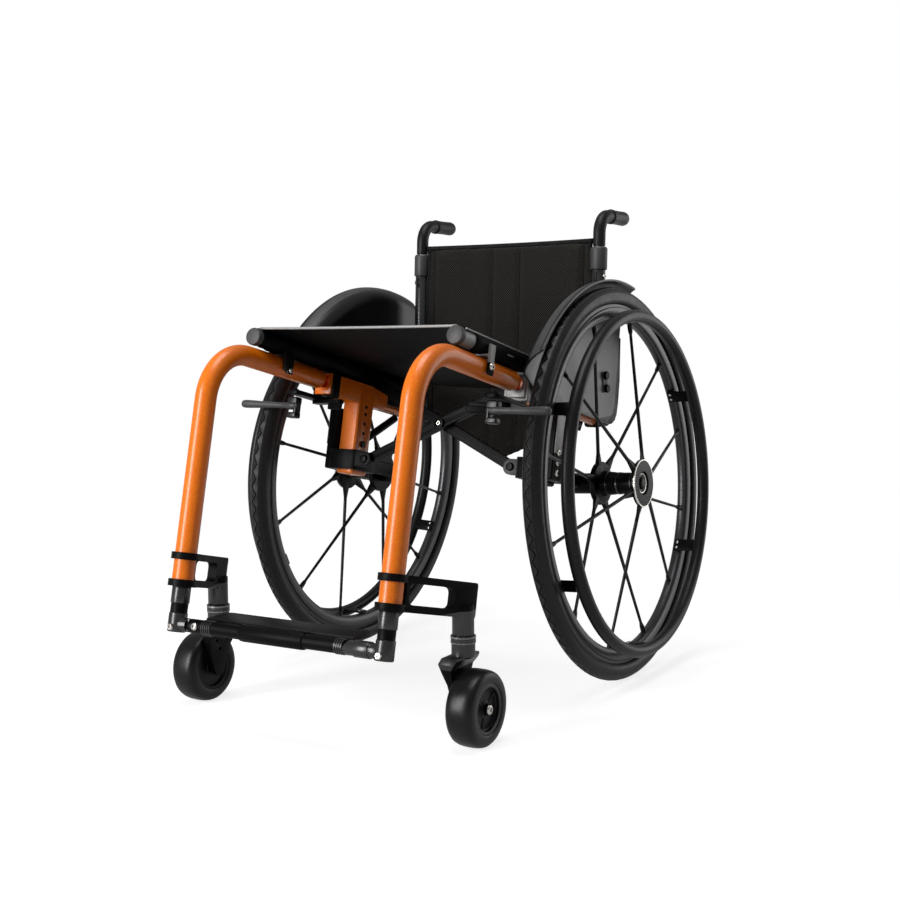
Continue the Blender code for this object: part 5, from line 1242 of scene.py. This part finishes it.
def makeCollar(side, sign):
    node = f"{side}_cane_collar"
    makeFrameNode(node, "castGrey", 0.0010, 2)
    screw = bmesh.new()
    z = collar["screwZ"]
    spot = (sign * (cane["x"] + 0.0105), backMiddle(z) - 0.0010, z)
    addScrew(screw, spot, (sign, 0, 0), 0.0040, 0.0020, 18)
    finishPiece(f"{side}_collarScrews", screw, "stainlessSteel", node, 40)
    # a thin black strip on the cane's front where its slot opens: painted shade standing in for the open
    # slot
    slot = bmesh.new()
    low, high = collar["slotZ"]
    middle = (low + high) / 2
    spot = (sign * cane["x"], backMiddle(middle) - 0.0109, middle)
    block(slot, (0.0050, 0.0008, high - low), spot)
    easeEdges(slot, 0.0003)
    finishPiece(f"{side}_caneSlotShade", slot, "turnedBlack", f"{side}_back_cane", 40)


rail = {"x": 0.170, "h": 0.0310, "radius": 0.0120, "cap": 0.0128, "start": 0.0816, "end": 0.488}


def makeSeatRail(side, sign):
    node = f"{side}_seat_rail"
    size, cap = rail["radius"], rail["cap"]
    first, last = rail["start"], rail["end"]
    place = facing(backward, seatPoint(sign * rail["x"], 0, rail["h"]))
    profile = [(0, first + 0.008), (size, first + 0.008), (size, last - 0.008), (0, last - 0.008)]
    finishPiece(f"{side}_railTube", spun(profile, 40), "blastedSilver", node, 40, place)
    caps = bmesh.new()
    for start, way in ((first, 1), (last, -1)):
        plug = [
            (0, start), (cap - 0.0022, start), (cap - 0.0006, start + way * 0.0006),
            (cap, start + way * 0.0022), (cap, start + way * 0.0095),
            (cap - 0.0008, start + way * 0.0100), (size - 0.002, start + way * 0.0100),
        ]
        addSpun(caps, plug, 40, place)
    finishPiece(f"{side}_railCaps", caps, "castGrey", node, 40)


saddle = {"s": 0.153, "strapX": 0.1530, "screwX": 0.1504, "boltX": 0.1887}


def makeSaddle(side, sign):
    node, s = f"{side}_seat_saddle", saddle["s"]
    bolts = bmesh.new()
    if sign > 0:
        cuts = [(seatPoint(0, s, 0.0065), -upward, 1)]
        makeFrameNode(node, ["blastedSilver", "anodisedBlack"], 0.0008, 2, cuts)
    else:
        makeFrameNode(node, "anodisedBlack", 0.0008, 2)
        strap = bmesh.new()  # the strap on the inner side, with its boss
        x = saddle["strapX"]
        block(strap, (0.0030, 0.0230, 0.0300), seatPlace(-x, s - 0.003, 0.0080))
        block(strap, (0.0050, 0.0120, 0.0120), seatPlace(-(x - 0.0002), s, -0.0050))
        easeEdges(strap, 0.0010)
        finishPiece("right_saddleStrap", strap, "guardBlack", node, 40)
        addScrew(bolts, seatPoint(-saddle["screwX"], s, -0.0050), (1, 0, 0), 0.0042, 0.0026)
    addScrew(bolts, seatPoint(sign * saddle["boltX"], s, 0.0015), (sign, 0, 0), 0.0052, 0.0042)
    addScrew(bolts, seatPoint(sign * rail["x"], s - 0.0072, -0.0100), -backward, 0.0040, 0.0020)
    finishPiece(f"{side}_saddleBolt", bolts, "stainlessSteel", node, 40)


brace = {"frontS": 0.346, "rearS": 0.358, "h": -0.050}


def makeBraceBolt():
    node = "brace_centre_bolt"
    ring = bmesh.new()
    place = facing(-backward, seatPoint(0, brace["frontS"], brace["h"]))
    washer = [
        (0.0048, 0.0050), (0.0050, 0.0092), (0.0060, 0.0100), (0.0076, 0.0098),
        (0.0082, 0.0088), (0.0082, 0.0050),
    ]
    addSpun(ring, washer, 36, place)
    finishPiece("braceBoltWasher", ring, "turnedBlack", node, 40)
    core = bmesh.new()
    addScrew(core, place @ Vector((0, 0, 0.0060)), -backward, 0.0046, 0.0036)
    rear = facing(backward, seatPoint(0, brace["rearS"], brace["h"]))
    nut = [(0, 0.0050), (0.0072, 0.0050), (0.0076, 0.0062), (0.0070, 0.0085), (0, 0.0085)]
    addSpun(core, nut, 24, rear)
    finishPiece("braceBoltCore", core, "stainlessSteel", node, 40)


axlePlate = {
    "coverX": 0.2043,
    "coverS": 0.3511,
    "coverH": -0.0600,
    "boltX": 0.2045,
    "boltHs": (-0.087, -0.102, -0.117),
}


def makeAxlePlate(side, sign):
    node = f"{side}_axle_block"
    # only the left block's ear is painted grey; the right one is left black, painted shade where it lies in
    # shadow
    cuts = [((sign * 0.1475, 0, 0), (-sign, 0, 0), 1)] if sign > 0 else []
    makeFrameNode(node, ["anodisedBlack", "castGrey"], 0.0010, 2, cuts)
    cover = bmesh.new()
    place = seatPlace(sign * axlePlate["coverX"], axlePlate["coverS"], axlePlate["coverH"])
    block(cover, (0.0012, 0.0330, 0.0570), place)
    easeEdges(cover, 0.0005)
    finishPiece(f"{side}_axlePlateCover", cover, "blastedSilver", node, 40)
    bolts = bmesh.new()
    for h in axlePlate["boltHs"]:
        spot = seatPoint(sign * axlePlate["boltX"], brace["frontS"], h)
        addScrew(bolts, spot, (sign, 0, 0), 0.0050, 0.0026)
    finishPiece(f"{side}_axlePlateBolts", bolts, "stainlessSteel", node, 40)


post = {
    "face": 0.1543,
    "s": 0.362,
    "holes": (-0.0245, -0.0360, -0.0515, -0.0670),
    "holeRadius": 0.0029,
    "boltH": -0.0845,
    "plug": 0.2638,  # the left beam is bare silver in front of this, where it takes the tube
    "foot": -0.120,  # and the left post is black below this
}


def makePost(side, sign):
    node = f"{side}_side_frame"
    zones = []
    if sign > 0:
        zones = [(seatPoint(0, post["plug"], 0), -backward, 1), (seatPoint(0, 0, post["foot"]), -upward, 2)]
    makeFrameNode(node, ["powderCoatOrange", "blastedSilver", "anodisedBlack"], 0.0024, 3, zones)
    marks = bmesh.new()
    x, s = post["face"], post["s"]
    # each hole is a black disc on the post's inner face, painted shade standing in for the inside of the
    # hole; below them sits a black square bolt head
    for h in post["holes"]:
        rod(marks, seatPoint(sign * x, s, h), seatPoint(sign * (x + 0.0017), s, h), post["holeRadius"], 20)
    block(marks, (0.0040, 0.0088, 0.0088), seatPlace(sign * (x - 0.0009), s, post["boltH"]))
    finishPiece(f"{side}_postHoleShadeAndBolt", marks, "turnedBlack", node, 40)


brake = {
    "shoeX": 0.173,
    "shoeS": 0.200,
    "barH": -0.0505,
    "bar": (0.1640, 0.2662),
    "pivotX": 0.165,
    "pivotS": 0.247,
}


def makeShoe(side, sign):  # a C of two jaws, and the tapered bar that presses on the tyre
    node = f"{side}_brake_shoe"
    x, s, h = brake["shoeX"], brake["shoeS"], brake["barH"]
    jaws = bmesh.new()
    for size, across, height in (
        ((0.0180, 0.0140, 0.0110), x, -0.0427),
        ((0.0180, 0.0140, 0.0085), x, -0.0649),
        ((0.0060, 0.0130, 0.0200), x - 0.0058, -0.0560),
    ):
        block(jaws, size, seatPlace(sign * across, s, height))
    easeEdges(jaws, 0.0020, 3)
    finishPiece(f"{side}_shoeJaws", jaws, "guardBlack", node, 40)
    inner, outer = brake["bar"]
    foot, tip = seatPoint(sign * inner, s, h), seatPoint(sign * outer, s - 0.0092, h)
    run = (tip - foot).length
    bar = [
        (0, 0), (0.0052, 0), (0.0060, 0.0010), (0.0062, 0.0100), (0.0062, 0.0180),
        (0.0047, 0.0215), (0.0045, 0.0380), (0.0052, 0.0640), (0.0061, 0.0860),
        (0.0062, 0.0960), (0.0054, run - 0.0022), (0.0034, run - 0.0004), (0, run),
    ]
    finishPiece(f"{side}_shoeBar", spun(bar, 32), "castGrey", node, 40, facing(tip - foot, foot))


def makeBrake(side, sign):
    node = f"{side}_brake_body"
    makeFrameNode(node, "anodisedBlack", 0.0008)
    makeFrameNode(f"{side}_brake_lever", "anodisedBlack", 0.0014, 3)
    makeShoe(side, sign)
    bolts = bmesh.new()
    for x, s in ((brake["shoeX"], brake["shoeS"]), (brake["pivotX"], brake["pivotS"])):
        addScrew(bolts, seatPoint(sign * x, s, -0.0277), upward, 0.0046, 0.0016)
    finishPiece(f"{side}_brakeBolts", bolts, "stainlessSteel", node, 40)


def cordBody(points, radius, facets=2):  # a thin sewn cord through points
    curve = bpy.data.curves.new("line", "CURVE")
    curve.dimensions = "3D"
    spline = curve.splines.new("POLY")
    spline.points.add(len(points) - 1)
    for knot, place in zip(spline.points, points):
        knot.co = (*place, 1)
    curve.bevel_depth = radius
    curve.bevel_resolution = facets
    curve.use_fill_caps = True
    holder = bpy.data.objects.new("line", curve)
    bm = bmesh.new()
    bm.from_mesh(holder.to_mesh())
    bpy.data.objects.remove(holder)
    return bm


def clothSheet(name, rows, thickness, finish, node, body=None):
    # a grid laid on rows of points, given its thickness along its normals
    bm = bmesh.new()
    count = len(rows[0])
    bmesh.ops.create_grid(bm, x_segments=count - 1, y_segments=len(rows) - 1, size=0.5)
    ordered = sorted(bm.verts, key=lambda v: (round(v.co.y, 5), round(v.co.x, 5)))
    for v, point in zip(ordered, [p for row in rows for p in row]):
        v.co = point
    bmesh.ops.recalc_face_normals(bm, faces=bm.faces)
    if sum((f.normal.z + f.normal.y * 0.01) * f.calc_area() for f in bm.faces) < 0:
        bmesh.ops.reverse_faces(bm, faces=bm.faces)
    bmesh.ops.solidify(bm, geom=bm.faces, thickness=thickness)
    return finishPiece(name, bm, finish, node, 60, body=body)


seat = {
    "wrap": (0.170, 0.0310),  # the rail's middle, that the sling is wrapped round
    "radius": 0.0123,
    "thick": 0.0020,
    "pocketThick": 0.0016,
    "start": 0.0925,
    "hemStart": 0.1170,
    "end": 0.482,
    "rows": 28,
    "sag": 0.012,
    "middle": -0.0003,
    "piping": 0.0018,
    "sidePiping": 0.0012,
    "sideTurn": 42.0,
    "hemWidth": 0.0460,
    "pocketTurns": (97, 257),
    "tags": (0.2113, 0.330),
    "keep": 0.31,
}
seatEdge = seat["wrap"][0] - 0.004  # where each panel meets its hem
seatLength = seat["end"] - seat["start"]
seatReach = seat["radius"] + seat["thick"]


def seatHeight(x, share):  # the panels sag towards the middle, and more so behind the front edge
    sag = seat["sag"] * (0.06 + 0.94 * min(1, share / 0.45) ** 0.8)
    return seat["wrap"][1] + seat["radius"] - sag * (1 - min(1, abs(x) / seatEdge) ** 2)


def wrapPlace(row):
    return seat["start"] + 0.0002 + (seatLength - 0.0004) * row / seat["rows"]


def makeSeatPanel(side, sign, body):
    across = [seatEdge + (seat["middle"] - seatEdge) * i / 18 for i in range(19)]
    rows = []
    for row in range(seat["rows"] + 1):
        share = row / seat["rows"]
        s = seat["start"] + seatLength * share
        rows.append([seatPoint(sign * x, s, seatHeight(x, share) + seat["thick"]) for x in across])
    panel = clothSheet(f"{side}_seatPanel", rows, seat["thick"], "nylonSling", "seat_sling", body)
    front = [seatPoint(sign * x, seat["start"] - 0.0006, seatHeight(x, 0) + 0.0012) for x in across]
    cord = cordBody(front, seat["piping"])
    piping = finishPiece(f"{side}_frontPiping", cord, "greyPiping", "seat_sling", 60, body=body)
    for piece in (panel, piping):
        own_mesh(piece)


def makeSeatHem(side, sign, body):  # round the outside of the rail, and narrow at the front
    rows = []
    for row in range(seat["rows"] + 1):
        line = arcPoints(seat["wrap"], seatReach, -78 if row > 1 else 38, 90, 14)
        line.append((seatEdge + 0.0003, seat["wrap"][1] + seatReach))
        s = seat["hemStart"] if row == 1 else wrapPlace(row)
        rows.append([seatPoint(sign * x, s, h) for x, h in line])
    return clothSheet(f"{side}_seatHem", rows, seat["thick"], "nylonSling", "seat_sling", body)


def makeSeatPocket(side, sign, body):  # round the inside of the rail
    start, end = seat["pocketTurns"]
    line = arcPoints(seat["wrap"], seatReach, start, end, 14)
    places = [wrapPlace(row) for row in range(seat["rows"] + 1)]
    rows = [[seatPoint(sign * x, s, h) for x, h in line] for s in places]
    pocket = clothSheet(f"{side}_seatPocket", rows, seat["pocketThick"], "nylonSling", "seat_sling", body)


def makeHemTrim(side, sign, body):  # the piping along the hem, and its two small tags
    x, h = arcPoints(seat["wrap"], seatReach + 0.0006, seat["sideTurn"], 90, 1)[0]
    run = [seatPoint(sign * x, seat["start"] - 0.0004 + seatLength * i / 20, h) for i in range(21)]
    cord = cordBody(run, seat["sidePiping"])
    piping = finishPiece(f"{side}_sidePiping", cord, "greyPiping", "seat_sling", 60, body=body)
    tags = bmesh.new()
    for s in seat["tags"]:
        block(tags, (0.0010, 0.017, 0.0022), seatPlace(sign * 0.1850, s, 0.0285))
    easeEdges(tags, 0.0003)
    finishPiece(f"{side}_hemTags", tags, "blastedSilver", "seat_sling", 40, body=body)


def makeSeat():
    for side, sign, body in (("left", 1, "front_arm"), ("right", -1, "rear_arm")):
        makeSeatPanel(side, sign, body)
        hem = makeSeatHem(side, sign, body)
        makeSeatPocket(side, sign, body)
        makeHemTrim(side, sign, body)


back = {
    "half": 0.1552,
    "bow": 0.016,
    "start": 0.0062,  # thickness before the pad swells
    "voxel": 0.0045,
    "cap": 0.0055,
    "seams": (-0.0330, 0.0180, -0.1400, 0.1400),
    "seamReach": 0.0075,
    "seamDraw": 0.42,
    "firstStitch": 0.668,
    "stitches": 56,
    "pitch": 0.0052,
    "stitch": 0.0018,
    "thread": 0.0015,
    "bindingZ": 0.6768,
    "binding": 0.0046,
    "edging": 0.0034,
    "keep": 0.395,
    # height at the sides, height at the middle, half width
    "levels": [
        (0.6785, 0.6785, 0.1500), (0.6720, 0.6720, 0.1527), (0.6500, 0.6500, 0.1527),
        (0.6280, 0.6280, 0.1527), (0.6240, 0.6220, 0.1552), (0.5900, 0.5890, 0.1552),
        (0.5600, 0.5560, 0.1552), (0.5300, 0.5230, 0.1552), (0.5000, 0.4900, 0.1552),
        (0.4700, 0.4550, 0.1552), (0.4380, 0.4200, 0.1552), (0.4340, 0.4120, 0.1527),
        (0.4170, 0.3860, 0.1497), (0.4000, 0.3600, 0.1467), (0.3750, 0.3240, 0.1387),
    ],
}


def backPoint(x, z, half, front=0.0):
    bow = back["bow"] * (1 - min(1, abs(x) / half) ** 2)
    return Vector((x, backMiddle(z) + bow - front, z))


def swell(piece, still):
    # remesh the pad evenly, blow it up as cloth with its edges held, and cap the move
    mesh = piece.data
    even = piece.modifiers.new("even", "REMESH")
    even.mode = "VOXEL"
    even.voxel_size = back["voxel"]
    graph = bpy.context.evaluated_depsgraph_get()
    meshed = bpy.data.meshes.new_from_object(piece.evaluated_get(graph))
    piece.modifiers.clear()
    piece.data = meshed
    rest = [v.co.copy() for v in meshed.vertices]
    held = piece.vertex_groups.new(name="held")
    held.add([v.index for v in meshed.vertices if still(v.co)], 1.0, "ADD")
    cloth = piece.modifiers.new("cloth", "CLOTH")
    cloth.settings.use_pressure = True
    cloth.settings.uniform_pressure_force = 4
    cloth.settings.effector_weights.gravity = 0
    cloth.settings.vertex_group_mass = "held"
    scene = bpy.context.scene
    for step in range(1, 21):
        scene.frame_set(step)
    graph = bpy.context.evaluated_depsgraph_get()
    blown = bpy.data.meshes.new_from_object(piece.evaluated_get(graph))
    scene.frame_set(1)
    piece.modifiers.clear()
    piece.vertex_groups.clear()
    for v, start in zip(blown.vertices, rest):
        move = v.co - start
        if move.length > back["cap"]:
            v.co = start + move * (back["cap"] / move.length)
    piece.data = blown
    bpy.data.meshes.remove(meshed)
    print("pad swollen:", len(blown.vertices), "points from", mesh.name)


def drawSeams(bm):  # the sewn channels draw the pad in towards its middle
    for v in bm.verts:
        middle = backPoint(v.co.x, v.co.z, back["half"])
        for seam in back["seams"]:
            near = max(0, 1 - abs(v.co.x - seam) / back["seamReach"])
            v.co.y += (middle.y - v.co.y) * back["seamDraw"] * near * near * (3 - 2 * near)


def makeBackPad():
    rows = []
    for outer, middle, wide in back["levels"]:
        line = []
        for i in range(49):
            x = wide - 2 * wide * i / 48
            z = outer + (middle - outer) * (1 - abs(x / wide))
            line.append(backPoint(x, z, wide, back["start"] / 2))
        rows.append(line)
    piece = clothSheet("backUpholstery", rows, back["start"], "spacerMesh", "back_upholstery")
    swell(piece, lambda p: abs(p.x) > back["half"] - 0.009)
    bm = bmesh.new()
    bm.from_mesh(piece.data)
    drawSeams(bm)
    bmesh.ops.smooth_vert(
        bm, verts=bm.verts, factor=0.35, use_axis_x=True, use_axis_y=True, use_axis_z=True
    )
    bm.to_mesh(piece.data)
    surface = BVHTree.FromBMesh(bm)
    bm.free()
    piece.data.materials.clear()
    piece.data.materials.append(finishes["spacerMesh"])
    piece.data.shade_smooth()
    smooth = piece.modifiers.new("smooth", "SUBSURF")
    smooth.levels = smooth.render_levels = 1
    return piece, surface


def makeBackStitches(surface):
    stitches = bmesh.new()
    for seam in back["seams"]:
        for i in range(back["stitches"]):
            z = back["firstStitch"] - back["pitch"] * i
            spot = surface.ray_cast(Vector((seam, -1, z)), Vector((0, 1, 0)))[0]
            if spot:
                start = spot + Vector((0, 0.0004, back["stitch"]))
                end = spot + Vector((0, 0.0004, -back["stitch"]))
                rod(stitches, start, end, back["thread"], 8)
    return finishPiece("backStitches", stitches, "turnedBlack", "back_upholstery", 60)


def makeBackBinding():  # the tape over the top edge and down each side
    half, pieces = back["half"], []
    top = [backPoint(half * (1 - i / 12), back["bindingZ"], half) for i in range(25)]
    cord = cordBody(top, back["binding"], 3)
    pieces.append(finishPiece("backTopBinding", cord, "bindingTape", "back_upholstery", 60))
    for sign, name in ((1, "left"), (-1, "right")):
        line = [backPoint(sign * (wide - 0.0012), outer, wide) for outer, _, wide in back["levels"]]
        cord = cordBody(line, back["edging"], 3)
        pieces.append(finishPiece(f"{name}_backEdging", cord, "bindingTape", "back_upholstery", 60))
    return pieces


def makeBackCloth():
    piece, surface = makeBackPad()
    threads = makeBackStitches(surface)
    bindings = makeBackBinding()
    for one in (piece, threads, *bindings):
        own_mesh(one)


for side, sign in (("left", 1), ("right", -1)):
    makeRearWheel(side, sign)
    makeCaster(side, sign)
    makeFork(side, sign)
    makeFrontTube(side, sign)
    makeLegSleeve(side, sign)
    makePost(side, sign)
    makeFrameNode(f"{side}_frame_strut", "anodisedBlack", 0.0008)
    makeFrameNode(f"{side}_tube_clamp", "blastedSilver" if sign > 0 else "anodisedBlack", 0.0010)
    makeBracket(side)
    makeFrameNode(f"{side}_brace_pin", "turnedBlack", 0.0008)
    makeFrameNode(f"{side}_axle_button", "turnedBlack", 0.0008)
    makeSeatRail(side, sign)
    makeSaddle(side, sign)
    makeAxlePlate(side, sign)
    makeGuard(side, sign)
    makeCane(side, sign)
    makeHandle(side, sign)
    makeCollar(side, sign)
    makeBrake(side, sign)
    print(side, "side made")
for node in ("front_brace_arm", "rear_brace_arm"):
    makeFrameNode(node, "anodisedBlack", 0.0012, 3)
makeFrameNode("footplate", "mouldedNylon", 0.0012, 3)
makeBraceBolt()
makeFootBar()
print("cross brace and footrest made")
makeSeat()
makeBackCloth()
print("seat and back cloth made")
